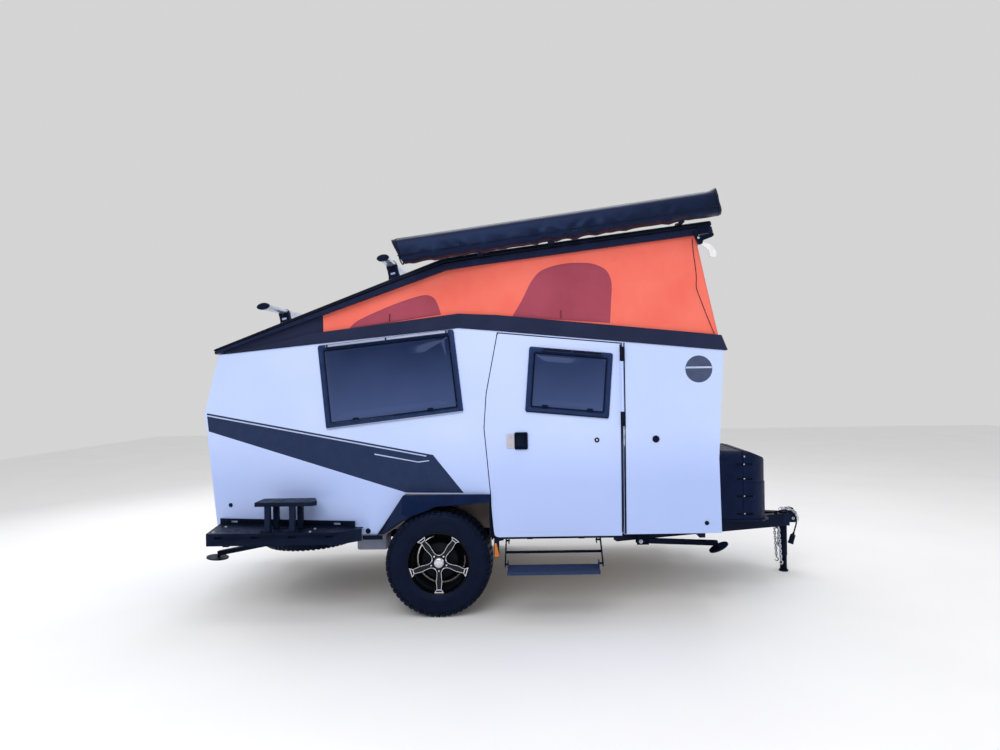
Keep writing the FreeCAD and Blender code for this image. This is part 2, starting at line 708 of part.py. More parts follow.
def build_frame():
    """Two main rails, cross members, tongue."""
    top = size("sill_z") - size("clear")
    mid = top - size("rail_high") / 2
    y = size("rail_half") - size("rail_wide") / 2
    rails = [
        tube("rail_right", (-2190, -y, mid), (1360, -y, mid), size("rail_wide"), size("rail_high")),
        tube("rail_left", (-2190, y, mid), (1360, y, mid), size("rail_wide"), size("rail_high")),
    ]
    for number, x in enumerate((-2165, -1260, -900, -230, 600, 1335)):
        rails.append(tube("cross_%d" % number, (x, -y - 1, mid), (x, y + 1, mid), 50, size("rail_high")))
    for number, x in enumerate((-140, 690, 1250)):
        reach = size("half_foot") - size("wall") - 4
        inner = size("rail_half") - 10
        rails.append(span("outrigger_r%d" % number, x - 20, x + 20, -reach, -inner, top - 40, top))
        rails.append(span("outrigger_l%d" % number, x - 20, x + 20, inner, reach, top - 40, top))
    extras = build_legs() + step_bracket() + tray_arms() + lamp_brackets()
    keep("chassis", fuse("chassis_frame", rails + extras))
    t_mid = size("tongue_z") - size("tongue_high") / 2
    tip = size("jack_x") - 30
    tube_r = tube("tongue_right", (700, -470, t_mid), (tip, -42, t_mid), size("tongue_wide"), size("tongue_high"))
    tube_l = tube("tongue_left", (700, 470, t_mid), (tip, 42, t_mid), size("tongue_wide"), size("tongue_high"))
    under = top - size("rail_high")
    low = size("tongue_z") - size("tongue_high")
    bridge = span("tongue_bridge", 1420, 1470, -260, 260, low, size("tongue_z"))
    nose = span("tongue_nose", size("jack_x") - 70, nose_x(), -60, 60, low, size("tongue_z"))
    tray = prism("gas_tray_plate", [(px, py, size("tongue_z") - 1) for px, py in gas_plan(12)], (0, 0, 13))
    body = fuse("tongue_body", [tube_r, tube_l, bridge, nose, tray] + cord_gland())
    notch = span("tongue_notch", 600, 1385, -560, 560, under - size("clear"), top + 10)
    hole = rod("jack_bore", (size("jack_x"), 0, 300), (size("jack_x"), 0, 600), size("jack_radius") + size("clear"))
    keep("tongue", cut("tongue_frame", body, [notch, hole]))


def nose_x():
    """Front face of the tongue's nose."""
    return size("jack_x") + size("nose_ahead")


def lamp_brackets():
    """Plates under the sill, ahead of the wheels, that carry the side reflectors."""
    y = size("half_foot") - size("wall") - 4
    top = size("sill_z") - size("clear")
    outline = [(-122, top), (-186, top), (-186, 396), (-150, 396), (-150, top - 44), (-122, top - 38)]
    right = prism("lamp_bracket_right", [(px, -y - 3, pz) for px, pz in outline], (0, 6, 0))
    return [right, mirror_y("lamp_bracket_left", right)]


def build_lamps():
    """Tail lamps on the rear wall and reflectors on the brackets under the sill."""
    y = size("half_foot") - size("wall") - 4 + 3 + size("clear")
    reflector = span("reflector_right", -184, -152, -y - 9, -y, 398, 494)
    slope = (size("rear_foot_x") - size("rear_crease_x")) / (size("sill_z") - size("rear_crease_z"))
    low, high = 640, 720

    def face(z):
        return size("rear_foot_x") + slope * (z - size("sill_z")) - size("clear")
    outline = [(face(low), low), (face(high), high), (face(high) - 22, high - 6), (face(low) - 22, low + 6)]
    lamp = prism("tail_lamp_right", [(px, -600, pz) for px, pz in outline], (0, 190, 0))
    right = [reflector, lamp]
    left = [mirror_y("reflector_left", reflector), mirror_y("tail_lamp_left", lamp)]
    keep("lamps", fuse("lamp_set", right + left))


def build_tank():
    """Water tank under the floor, outside the right rail."""
    body = DOC.addObject("PartDesign::Body", "WaterTank")
    outline = sketch_on(body, "tank_outline", "XY_Plane")
    rectangle(outline, "tank_long", "tank_wide")
    block = pad(body, "tank_block", outline, "tank_high")
    DOC.recompute()
    upright = edges_where(block, lambda e: runs_along(e, Vec(0, 0, 1)))
    bottom = edges_where(block, lambda e: max(v.Z for v in e.Vertexes) < 1)
    corners_round = body.newObject("PartDesign::Fillet", "tank_corners")
    corners_round.Base = (block, ["Edge%d" % k for k in upright + bottom])
    corners_round.setExpression("Radius", "Sizes.tank_round")
    body.Tip = corners_round
    low = size("sill_z") - 2 * size("clear") - size("tank_high")
    inner = size("rail_half") + 5
    body.Placement = FreeCAD.Placement(place((-1083.5, -inner - size("tank_wide") / 2, low)), FreeCAD.Rotation())
    keep("water_tank", body)


def build_coupler():
    """Ball coupler on the tongue's nose."""
    z = size("tongue_z") - 30
    x = nose_x() + size("socket_ahead")
    shell = span("coupler_shell", nose_x() + size("clear"), x, -38, 38, z - 48, z + 34)
    dome = rod("coupler_dome", (x, 0, z - 48), (x, 0, z + 34), 37.5)
    body = fuse("coupler_body", [shell, dome])
    ball = DOC.addObject("Part::Sphere", "coupler_ball")
    ball.setExpression("Radius", "Sizes.ball / 2 + 0.4")
    ball.Placement = FreeCAD.Placement(place((x, 0, z)), FreeCAD.Rotation())
    throat = rod("coupler_throat", (x, 0, z - 60), (x, 0, z), "Sizes.ball / 2 + 0.4")
    lock = span("coupler_latch", x - 30, x + 20, -10, 10, z + 33, z + 48)
    keep("coupler", cut("coupler_open", fuse("coupler_solid", [body, lock]), [ball, throat]))


def build_jack():
    """Side-wind drop-leg jack: outer tube through the tongue's nose, sliding leg with its foot."""
    x = size("jack_x")
    low, top = 130, size("tongue_z") + 6
    outer = ring("jack_tube", (x, 0, low), "Sizes.jack_radius", "Sizes.jack_radius - 3", top - low, (0, 0, 1))
    cap = rod("jack_cap", (x, 0, top), (x, 0, top + 6), "Sizes.jack_radius + 3")
    y = size("jack_radius") - 2
    gear = span("jack_gearbox", x - 26, x + 26, y, y + 34, low + 60, low + 130)
    shaft = rod("jack_shaft", (x, y + 34, low + 95), (x, y + 74, low + 95), 8)
    arm = prism("jack_arm", arm_outline(Vec(x, y + 70, low + 95), Vec(x + 0, y + 70, low + 205), 10, "y"), (0, 6, 0))
    grip = rod("jack_grip", (x, y + 70, low + 200), (x, y + 150, low + 200), 12)
    keep("jack_housing", fuse("jack_body", [outer, cap, gear, shaft, arm, grip]))
    leg = rod("jack_leg_bar", (x, 0, 8), (x, 0, 380), "Sizes.jack_radius - 3.5")
    foot = rod("jack_foot_plate", (x, 0, 0), (x, 0, 8), "Sizes.jack_foot_radius")
    collar = rod("jack_foot_collar", (x, 0, 8), (x, 0, 18), "Sizes.jack_foot_radius - 8")
    keep("jack_leg", fuse("jack_inner", [leg, foot, collar]))


def chain_link(name, centre, run, across):
    """One link: a flat oval loop in the plane of the chain's run and a direction across it."""
    wire = size("chain_wire")
    outer, inner = [], []
    for along, side in ((-17, 5), (-11, 11), (11, 11), (17, 5), (17, -5), (11, -11), (-11, -11), (-17, -5)):
        outer.append(centre + run * along + across * side)
        inner.append(centre + run * (along * (17 - wire) / 17) + across * (side * (11 - wire) / 11))
    normal = run.cross(across)
    loops = []
    for tag, points, depth in (("outer", outer, wire / 2), ("inner", inner, wire)):
        start = [p - normal * depth for p in points]
        loops.append(prism(name + "_" + tag, [tuple(p) for p in start], tuple(normal * (2 * depth))))
    return cut(name, loops[0], [loops[1]])


def chain_hook(name, tip, run, across):
    """Open hook below the last link."""
    normal = run.cross(across)
    points = []
    for radius, turns in ((17, range(-100, 181, 20)), (10, range(180, -101, -20))):
        for turn in turns:
            angle = math.radians(turn)
            points.append(tip + run * (17 + radius * math.sin(angle)) + across * (radius * math.cos(angle)))
    start = [tuple(p - normal * 4) for p in points]
    return prism(name, start, tuple(normal * 8))


def build_chains():
    """Two safety chains, hanging from the underside of the tongue's nose beside the jack."""
    x = size("jack_x")
    top = Vec(x - 56, -50, size("tongue_z") - size("tongue_high") - size("clear"))
    low = Vec(x - 38, -50, 90)
    run = (low - top).normalize()
    flat = Vec(0, 1, 0)
    ways = (flat, run.cross(flat))
    pitch = 34 - 2 * size("chain_wire") - 0.4
    count = int(((low - top).Length - 34) / pitch)
    links = []
    for k in range(count + 1):
        links.append(chain_link("link%d" % k, top + run * (17.5 + pitch * k), run, ways[k % 2]))
    end = top + run * (17.5 + pitch * count + 10)
    links.append(chain_hook("hook", end, run, ways[(count + 1) % 2]))
    right = fuse("chain_right", links)
    keep("safety_chains", fuse("chain_pair", [right, mirror_y("chain_left", right)]))


def cord_route():
    """Points of the wiring cord: out of its gland, over the coupler and down to its plug."""
    x = size("jack_x")
    points = [(-62, -46, 500), (-20, -48, 512), (24, -52, 512), (61, -58, 491), (84, -64, 455),
              (86, -70, 412), (74, -72, 371), (61, -72, 330)]
    return [Vec(x + px, py, pz) for px, py, pz in points]


def cord_gland():
    """Gland on the tongue's top that the wiring cord comes out of."""
    a, b = cord_route()[0], cord_route()[1]
    out = (b - a).normalize()
    stem = rod("gland_stem", a - out * 24, a, "Sizes.cord_radius + 4")
    foot = span("gland_foot", a.x - 24, a.x - 6, a.y - 10, a.y + 10, size("tongue_z") - 1, a.z - 4)
    return [stem, foot]


def cord_path(points):
    """Straight runs joined by tangent arcs, as large as their runs allow."""
    edges = []
    at = points[0]
    radii = []
    for before, corner, after in zip(points, points[1:], points[2:]):
        back, ahead = before - corner, after - corner
        half = (math.pi - back.getAngle(ahead)) / 2
        reach = 0.45 * min(back.Length, ahead.Length)
        start = corner + back.normalize() * reach
        end = corner + ahead.normalize() * reach
        radius = reach / math.tan(half)
        radii.append(round(radius))
        inward = (back + ahead).normalize()
        middle = corner + inward * (radius / math.cos(half) - radius)
        edges.append(Part.LineSegment(place(at), place(start)).toShape())
        edges.append(Part.Arc(place(start), place(middle), place(end)).toShape())
        at = end
    edges.append(Part.LineSegment(place(at), place(points[-1])).toShape())
    print("cord arc radii: %s" % radii)
    return Part.Wire(edges)


def build_cord():
    """Wiring cord with its round plug."""
    points = cord_route()
    path = cord_path(points)
    radius = size("cord_radius")
    out = (points[1] - points[0]).normalize()
    section = Part.Wire(Part.Circle(place(points[0]), out, radius).toShape())
    cord = DOC.addObject("Part::Feature", "cord_tube")
    cord.Shape = path.makePipeShell([section], True, False)
    ratio = cord.Shape.Volume / (math.pi * radius ** 2 * path.Length)
    print("cord length %.0f, volume over section times length %.4f" % (path.Length, ratio))
    keep("wiring_cord", cord)
    a = points[-1]
    run = (points[-1] - points[-2]).normalize()
    neck = rod("plug_neck", a, a + run * 20, "Sizes.plug_radius - 7")
    shell = rod("plug_shell", a + run * 14, a + run * 92, "Sizes.plug_radius")
    rim = rod("plug_rim", a + run * 78, a + run * 92, "Sizes.plug_radius + 3")
    lid = box("plug_lid", 18, 14, 60, (a.x - 9 - 8, a.y - 30, a.z - 80))
    keep("wiring_plug", fuse("plug", [neck, shell, rim, lid]))


def gas_plan(over):
    """Plan of the gas bottle tray: the cover's, widened by a margin."""
    x0, x1, y = size("cover_rear_x"), size("cover_front_x"), size("cover_half")
    cut_off = 0.4 * size("cover_round")
    return [(x0 - over, -y - over), (x1 - cut_off, -y - over), (x1 + over, -y + cut_off), (x1 + over, y - cut_off),
            (x1 - cut_off, y + over), (x0 - over, y + over)]


def cover_form(name, over):
    """Form of the bottle cover grown by a margin: rounded plan, crowned sides, sloping nose."""
    x0, x1 = size("cover_rear_x") - over, size("cover_front_x") + over
    y, z0, z1 = size("cover_half") + over, size("tongue_z") + 12 + size("clear"), size("cover_top_z") + over
    up, side = Vec(0, 0, 1), Vec(0, 1, 0)
    block = span(name + "_block", x0, x1, -y, y, z0, z1)
    middle = place((x1 - 1, 0, 0)).x
    plan = rounded(name + "_plan", block, size("cover_round"),
                   lambda e: runs_along(e, up) and e.CenterOfMass.x > middle)
    crown_block = span(name + "_crown_block", x0 - 1, x1 + 1, -y, y, z0 - 1, z1)
    crown = rounded(name + "_crown", crown_block, size("cover_crown"),
                    lambda e: runs_along(e, Vec(1, 0, 0)) and e.CenterOfMass.z > z1 - 1)
    outline = [(x0 - 2, z0 - 2), (x1, z0 - 2), (x1, z1 - 76), (x1 - 150, z1 - 12), (x0 - 2, z1)]
    slope = prism(name + "_slope", [(px, -y - 5, pz) for px, pz in outline], (0, 2 * y + 10, 0))
    nose = rounded(name + "_nose", slope, 70,
                   lambda e: runs_along(e, side) and z1 - 77 < e.CenterOfMass.z < z1 - 10)
    return common(name, [plan, crown, nose])


def build_gas_cover():
    """Moulded cover of the gas bottles with its seam band, clip recesses and stepped skirt."""
    seam = size("cover_seam_x")
    y, z1 = size("cover_half"), size("cover_top_z")
    shell = cover_form("cover_shell", 0)
    band_slab = span("cover_band_slab", seam - 9, seam + 9, -y - 50, y + 50, 400, z1 + 50)
    band = common("cover_band", [cover_form("cover_band_form", 5), band_slab])
    skirt_slab = span("cover_skirt_slab", seam, size("cover_front_x") + 50, -y - 50, y + 50, 400, 782)
    skirt = common("cover_skirt", [cover_form("cover_skirt_form", 4), skirt_slab])
    slots = []
    for number, z in enumerate((544, 681, 817, 930)):
        slots.append(span("cover_slot_r%d" % number, seam - 62, seam + 62, -y - 20, -y + 9, z - 8, z + 8))
        slots.append(span("cover_slot_l%d" % number, seam - 62, seam + 62, y - 9, y + 20, z - 8, z + 8))
    keep("gas_cover", cut("cover_body", fuse("cover_solid", [shell, band, skirt]), slots))


# Running gear

def wheel_parts(name, sign):
    """Tyre, rim and hub about the wheel axis; sign is -1 on the right."""
    x, z, y = size("axle_x"), size("wheel_z"), sign * size("track_half")
    half = size("tyre_width") / 2
    r = size("wheel_z")
    rr = size("rim_radius")
    outer = [(rr, -half * 0.86), (rr + 40, -half), (r - 45, -half), (r - 8, -half * 0.86),
             (r, -half * 0.6), (r, half * 0.6), (r - 8, half * 0.86), (r - 45, half), (rr + 40, half),
             (rr, half * 0.86)]
    tyre = revolve(name + "_tyre", outer, (x, y, z))
    rim_pts = [(60, -half * 0.5), (rr - 0.3, -half * 0.5), (rr - 0.3, -half * 0.86), (rr - 14, -half * 0.86),
               (rr - 18, -half * 0.62), (60, -half * 0.62)]
    disc = revolve(name + "_disc", rim_pts, (x, y, z), sign)
    barrel = revolve(name + "_barrel", [(rr - 14, -half * 0.86), (rr - 0.3, -half * 0.86), (rr - 0.3, half * 0.86),
                                        (rr - 14, half * 0.86)], (x, y, z), sign)
    tools = []
    for k in range(5):
        angle = math.radians(72 * k + 90)
        tools.append(spoke_gap(name, k, angle, (x, y, z), sign))
    rim_solid = cut(name + "_disc_open", disc, tools)
    rim = fuse(name + "_rim", [rim_solid, barrel])
    hub = hub_body(name, (x, y - sign * half * 0.45, z), sign)
    keep("tyre_" + name, tyre)
    keep("rim_" + name, rim)
    keep("hub_" + name, hub)
    spindle = rod(name + "_spindle", (x, y - sign * 160, z), (x, y - sign * half * 0.45 - sign * 0.3, z), 30)
    seat = size("sill_z") - size("rail_high") - 2 * size("clear")
    arm = prism(name + "_arm", [
        (x - 40, y - sign * 200, z - 45), (x + 40, y - sign * 200, z - 45), (x + 330, y - sign * 200, seat - 46),
        (x + 330, y - sign * 200, seat), (x + 240, y - sign * 200, seat), (x - 40, y - sign * 200, z + 45)],
        (0, sign * 40, 0))
    rail = size("rail_half") - 2
    mount_tube = span(name + "_mount", x + 235, x + 335, min(sign * rail, y - sign * 165),
                      max(sign * rail, y - sign * 165), seat - 86, seat)
    return fuse(name + "_suspension", [spindle, arm, mount_tube])


def hub_body(name, inner_end, sign):
    """Hub: a sketched disc pushed out along the axle, its outer edge chamfered."""
    body = DOC.addObject("PartDesign::Body", "Hub_" + name)
    outline = sketch_on(body, "hub_outline_" + name, "XY_Plane")
    circle(outline, "hub_radius")
    block = pad(body, "hub_block_" + name, outline, "hub_long")
    DOC.recompute()
    outer = edges_where(block, lambda e: e.CenterOfMass.z > size("hub_long") - 1)
    edge = body.newObject("PartDesign::Chamfer", "hub_chamfer_" + name)
    edge.Base = (block, ["Edge%d" % k for k in outer])
    edge.setExpression("Size", "Sizes.hub_edge")
    body.Tip = edge
    turn = FreeCAD.Rotation(Vec(0, 0, 1), Vec(0, sign, 0))
    body.Placement = FreeCAD.Placement(place(inner_end), turn)
    return body


def spoke_gap(name, k, angle, centre, sign):
    """Opening between two spokes."""
    x, y, z = centre
    pts = []
    for radius, turn in ((95, -0.30), (182, -0.38), (182, 0.38), (95, 0.30)):
        a = angle + turn
        pts.append((x + radius * math.cos(a + math.radians(36)), y - 200, z + radius * math.sin(a + math.radians(36))))
    return prism("%s_gap%d" % (name, k), pts, (0, 400, 0))


def revolve(name, outline, centre, sign=1):
    """Closed outline of (radius, offset along Y) turned about the wheel axis."""
    x, y, z = centre
    base = DOC.addObject("Part::Polygon", name + "_section")
    base.Nodes = [place((x, y - sign * b, z + a)) for a, b in outline]
    base.Close = True
    item = DOC.addObject("Part::Revolution", name)
    item.Source = base
    item.Axis = Vec(0, 1, 0)
    item.Base = place(centre)
    item.Angle = 360
    item.Solid = True
    item.FaceMakerClass = "Part::FaceMakerBullseye"
    return item


# Rear tray, spare wheel, legs, step

def tray_arms():
    """Outriggers that carry the rear tray from the right rail."""
    top = size("tray_z") - size("clear")
    low = size("sill_z") - 22
    edge = -(size("tray_half") - 18)
    arms = []
    for number, x in enumerate((-2000, -1290)):
        inner = -(side_low(x, size("tray_z")) + 12)
        arms.append(span("tray_arm%d" % number, x - 20, x + 20, edge, -size("rail_half") + 20, low - 20, low))
        arms.append(span("tray_post%d" % number, x - 20, x + 20, edge, inner, low - 20, top))
    return arms


def tray_inner(x):
    """Half width of the tray's inner edge: the wall above it, with room."""
    return side_low(x, size("tray_z") + 60) + 14


def build_tray():
    """Folded steel tray at the right rear corner, and the stand on it."""
    t = 4
    z1 = size("tray_z")
    z0, z2 = z1 - 80, z1 + 44
    x0, x2 = size("tray_rear_x"), size("tray_front_x")
    x1 = x2 - 125
    out = size("tray_half")
    in2 = tray_inner(x2)
    tip = in2 + 45
    xb = x0 - 62
    in0 = tray_inner(xb)
    deck = prism("tray_deck", [(x0, -out, z1), (x1, -out, z1), (x2, -tip, z1), (x2, -in2, z1), (xb, -in0, z1)], (0, 0, t))
    face = span("tray_face", x0, x1, -out - t, -out, z0, z1 + t)
    corner = prism("tray_corner", [(x1, -out - t, z0), (x1, -out, z0), (x2, -tip, z0), (x2 + 2, -tip - t, z0)],
                   (0, 0, z1 + t - z0))
    back = prism("tray_back", [(xb, -in0 - t, z1), (xb, -in0, z1), (x2 - 60, -tray_inner(x2 - 60), z1),
                               (x2 - 60, -tray_inner(x2 - 60) - t, z1)], (0, 0, z2 - z1))
    end = prism("tray_end", [(x0 - t, -out - t, z0), (x0, -out - t, z0), (x0, -out, z0), (xb, -in0, z0),
                             (xb - t, -in0, z0)], (0, 0, z1 + t - z0))
    slots = []
    for number, x in enumerate((-2038, -1791, -1541, -1291)):
        slots.append(span("tray_slot%d" % number, x - 25, x + 25, -out - 12, -out + 8, z1 - 32, z1 - 18))
    for number, x in enumerate((-2068, -1291)):
        near = tray_inner(x)
        slots.append(span("back_slot%d" % number, x - 25, x + 25, -near - 20, -near + 20, z1 + 16, z1 + 30))
    keep("rear_tray", cut("tray", fuse("tray_solid", [deck, face, corner, back, end]), slots))
    legs = []
    top = size("stand_z")
    for number, (x, y) in enumerate(((-1716, -985), (-1548, -985), (-1706, -865), (-1538, -865))):
        legs.append(span("stand_leg%d" % number, x - 17, x + 17, y - 17, y + 17, z1 + t + size("clear"), top - 25))
    plate = prism("stand_top", [(-1800, -1000, top - 28), (-1410, -1000, top - 28), (-1390, -960, top - 28),
                                (-1440, -840, top - 28), (-1800, -840, top - 28)], (0, 0, 28))
    keep("tray_stand", fuse("stand", legs + [plate]))


def build_spare():
    """Spare wheel lying flat under the floor, on its carrier."""
    x, z0 = -1765, 292
    r = size("wheel_z")
    outer = rod("spare_outer", (x, 0, z0), (x, 0, z0 + size("tyre_width")), r)
    rounded = DOC.addObject("Part::Fillet", "spare_tyre_round")
    rounded.Base = outer
    rounded.Edges = [(1, 26.0, 26.0), (3, 26.0, 26.0)]
    hole = rod("spare_hole", (x, 0, z0 - 5), (x, 0, z0 + size("tyre_width") + 5), size("rim_radius"))
    tyre = cut("spare", rounded, [hole])
    barrel = ring("spare_barrel", (x, 0, z0 + 20), size("rim_radius") - 0.3, size("rim_radius") - 14, size("tyre_width") - 40, (0, 0, 1))
    disc = rod("spare_disc", (x, 0, z0 + 60), (x, 0, z0 + 75), size("rim_radius") - 8)
    post = rod("spare_post", (x, 0, z0 + 75), (x, 0, size("sill_z") - 0.3), 20)
    keep("spare_tyre", tyre)
    keep("spare_rim", fuse("spare_rim_solid", [barrel, disc, post]))


def stabiliser(name, x_pivot, y, z_pivot, toward, drop, reach, lean_out):
    """Swing-down leg, folded up under the floor: bracket on the rail and leg with its foot."""
    tip = Vec(x_pivot + toward * reach, y, z_pivot - drop)
    x0, x1 = sorted((x_pivot - toward * 30, x_pivot + toward * 60))
    top = size("sill_z") - size("rail_high")
    bracket = span(name + "_bracket", x0, x1, y - 34, y - 30, z_pivot - 25, top)
    bracket2 = span(name + "_bracket2", x0, x1, y + 30, y + 34, z_pivot - 25, top)
    plate = span(name + "_plate", x0, x1, y - 34, y + 34, top - 4, top)
    pin = rod(name + "_pin", (x_pivot, y - 38, z_pivot), (x_pivot, y + 38, z_pivot), 6)
    holder = fuse(name + "_holder", [bracket, bracket2, plate, pin])
    leg = prism(name + "_bar", arm_outline(Vec(x_pivot, y - 20, z_pivot), tip + Vec(0, -20, 0), 17, "y"), (0, 40, 0))
    eye = rod(name + "_eye", (x_pivot, y - 20, z_pivot), (x_pivot, y + 20, z_pivot), 20)
    hole = rod(name + "_eye_hole", (x_pivot, y - 40, z_pivot), (x_pivot, y + 40, z_pivot), 6.4)
    centre = tip + Vec(toward * 25, 0, -30)
    stem = rod(name + "_stem", tuple(tip + Vec(-toward * 15, 0, 0)), tuple(centre), 9)
    face = Vec(toward * lean_out, 0, -1).normalize()
    foot = rod(name + "_foot", tuple(centre), tuple(centre + face * 8), "Sizes.pad_radius")
    return holder, cut(name + "_leg", fuse(name + "_leg_solid", [leg, eye, stem, foot]), [hole])


def build_legs():
    """Four stabilisers under the ends of the main rails."""
    y = size("rail_half") - size("rail_wide") / 2
    holders = []
    for side, hand in ((-1, "right"), (1, "left")):
        ahead = stabiliser("front_" + hand, 880, side * y, 400, 1, 26, 560, 0.5)
        behind = stabiliser("rear_" + hand, -1860, side * y, 426, -1, 74, 400, 0.12)
        for name, (holder, leg) in (("front_", ahead), ("rear_", behind)):
            holders.append(holder)
            keep("leg_" + name + hand, leg)
    return holders


STEP_PIVOT = (-885, 498)
STEP_TREAD = (-1050, 380)


def step_bracket():
    """Ears of the entry step on a rail below the door."""
    y, z = STEP_PIVOT
    plates = []
    for number, (x0, x1) in enumerate(((-88, -82), (520, 526))):
        ear = span("step_ear%d" % number, x0, x1, y - 20, y + 20, z - 20, size("sill_z") - 3)
        hole = rod("step_ear_hole%d" % number, (x0 - 3, y, z), (x1 + 3, y, z), 7.4)
        plates.append(cut("step_ear_open%d" % number, ear, [hole]))
    rail = span("step_rail", -88, 526, y - 20, y + 20, size("sill_z") - 9, size("sill_z") - 3)
    ties = [span("step_tie%d" % k, x - 20, x + 20, y - 5, -540, size("sill_z") - 43, size("sill_z") - 3)
            for k, x in enumerate((60, 420))]
    return plates + [rail] + ties


def build_step():
    """Entry step: two swinging arms and the tread between them."""
    (y_pivot, z_pivot), (y_out, z_out) = STEP_PIVOT, STEP_TREAD
    pieces = []
    for number, (x, pin) in enumerate(((-108, (-108, -78)), (546, (516, 554)))):
        bar = prism("step_arm%d" % number, arm_outline(Vec(x, y_pivot, z_pivot), Vec(x, y_out, z_out), 16), (8, 0, 0))
        pieces.append(bar)
        pieces.append(rod("step_pin_in%d" % number, (pin[0], y_pivot, z_pivot), (pin[1], y_pivot, z_pivot), 7))
        pieces.append(rod("step_pin_out%d" % number, (pin[0], y_out, z_out), (pin[1], y_out, z_out), 7))
    y_mid, z_mid = (y_pivot + y_out) / 2, (z_pivot + z_out) / 2
    pieces.append(rod("step_cross", (-104, y_mid, z_mid), (550, y_mid, z_mid), 9))
    keep("step_arms", fuse("step_arm_pair", pieces))
    tread = [span("step_tread_plate", -88, 526, -1135, -965, 330, 352)]
    for number, (x0, x1) in enumerate(((-88, -82), (520, 526))):
        ear = span("step_side%d" % number, x0, x1, y_out - 22, y_out + 22, 345, z_out + 20)
        hole = rod("step_side_hole%d" % number, (x0 - 3, y_out, z_out), (x1 + 3, y_out, z_out), 7.4)
        tread.append(cut("step_side_open%d" % number, ear, [hole]))
    keep("step_tread", fuse("step_tread_solid", tread))


def arm_outline(a, b, half, plane="x"):
    """Outline of a flat bar about two pivots, in its plane of constant X or Y."""
    run = (b - a).normalize()
    side = Vec(0, -run.z, run.y) * half if plane == "x" else Vec(run.z, 0, -run.x) * half
    ends = [a - run * half + side, b + run * half + side, b + run * half - side, a - run * half - side]
    return [(p.x, p.y, p.z) for p in ends]


# Roof: modelled closed, then turned up about its rear hinge

def roof_axis():
    """Hinge line of the roof at the rear top edge."""
    return Vec(size("rear_top_x") - 8, 0, size("rear_top_z") + 2)


def roof_placement():
    """Turn of the roof from closed to as it stands."""
    rotation = FreeCAD.Rotation(Vec(0, 1, 0), -size("roof_open"))
    return FreeCAD.Placement(Vec(0, 0, 0), rotation, place(roof_axis()))


def roof_line(x, up, rear_up=None):
    """Height of a line that runs above the wall top, closed; it may taper to the rear."""
    if x <= size("peak_x"):
        share = (x - size("rear_top_x")) / (size("peak_x") - size("rear_top_x"))
        rise = up if rear_up is None else rear_up + share * (up - rear_up)
        return size("rear_top_z") + share * (size("peak_z") - size("rear_top_z")) + rise
    return top_edge(x) + up


def roof_band(name, x0, x1, low, high, y0, y1):
    """Bent band along the roof: two lines, each with its rise ahead and at the rear."""
    xs = [x0, size("peak_x"), x1]
    pts = [(x, y0, roof_line(x, *low)) for x in xs] + [(x, y0, roof_line(x, *high)) for x in reversed(xs)]
    return prism(name, pts, (0, y1 - y0, 0))


def rim_rise():
    """Rise of the edge profile's top over the wall: ahead, and at the rear."""
    return (size("roof_lift") + size("rim_height"), size("roof_rear_high"))


def panel_rise():
    """Rise of the roof panel's top."""
    ahead, rear = rim_rise()
    return (ahead - 6, rear - 6)


def ceiling_rise():
    """Rise of the roof panel's underside."""
    ahead, rear = panel_rise()
    return (ahead - size("roof_thick"), rear - size("roof_thick") + 12)


def roof_plan(name, over, z0, z1):
    """Plan of the roof pushed up: narrow at the rear, full width from the door on."""
    half = [
        (size("rear_top_x") - over, half_rear_top() + over - 4),
        (size("facet_x"), size("half_top") + over),
        (size("front_top_x") + over, size("half_top") + over),
    ]
    plan = [(x, -y, z0) for x, y in half] + [(x, y, z0) for x, y in reversed(half)]
    return prism(name, plan, (0, 0, z1 - z0))


def build_roof():
    """Roof panel and its edge profile."""
    over = size("roof_over")
    lift = size("roof_lift")
    rim_wide = size("rim_wide")
    x0, x1 = size("rear_top_x") - over - 10, size("front_top_x") + over + 10
    band = roof_band("rim_band", x0, x1, (lift, lift), rim_rise(), -1200, 1200)
    outer = roof_plan("rim_plan", over, 1500, 2400)
    inner = roof_plan("rim_inner_plan", over - rim_wide, 1450, 2450)
    axis = roof_axis()
    groove = rod("rim_groove", (axis.x, -1000, axis.z), (axis.x, 1000, axis.z), 7 + size("clear"))
    rim = cut("roof_rim_solid", common("rim_outer", [band, outer]), [inner, groove])
    keep("roof_rim", rim)
    panel_band = roof_band("panel_band", x0, x1, ceiling_rise(), panel_rise(), -1200, 1200)
    panel_plan = roof_plan("panel_plan", over - rim_wide - size("clear"), 1500, 2400)
    keep("roof_panel", common("roof_panel_solid", [panel_band, panel_plan]))
    for label in ("roof_rim", "roof_panel"):
        OUT[label].Placement = roof_placement()


def raised(point):
    """Point of the closed roof, as it stands with the roof up."""
    turn = FreeCAD.Placement(Vec(0, 0, 0), FreeCAD.Rotation(Vec(0, 1, 0), -size("roof_open")), roof_axis())
    return turn.multVec(Vec(*point))


def roof_top(x):
    """Height of the roof's upper face, closed."""
    return roof_line(x, *panel_rise())


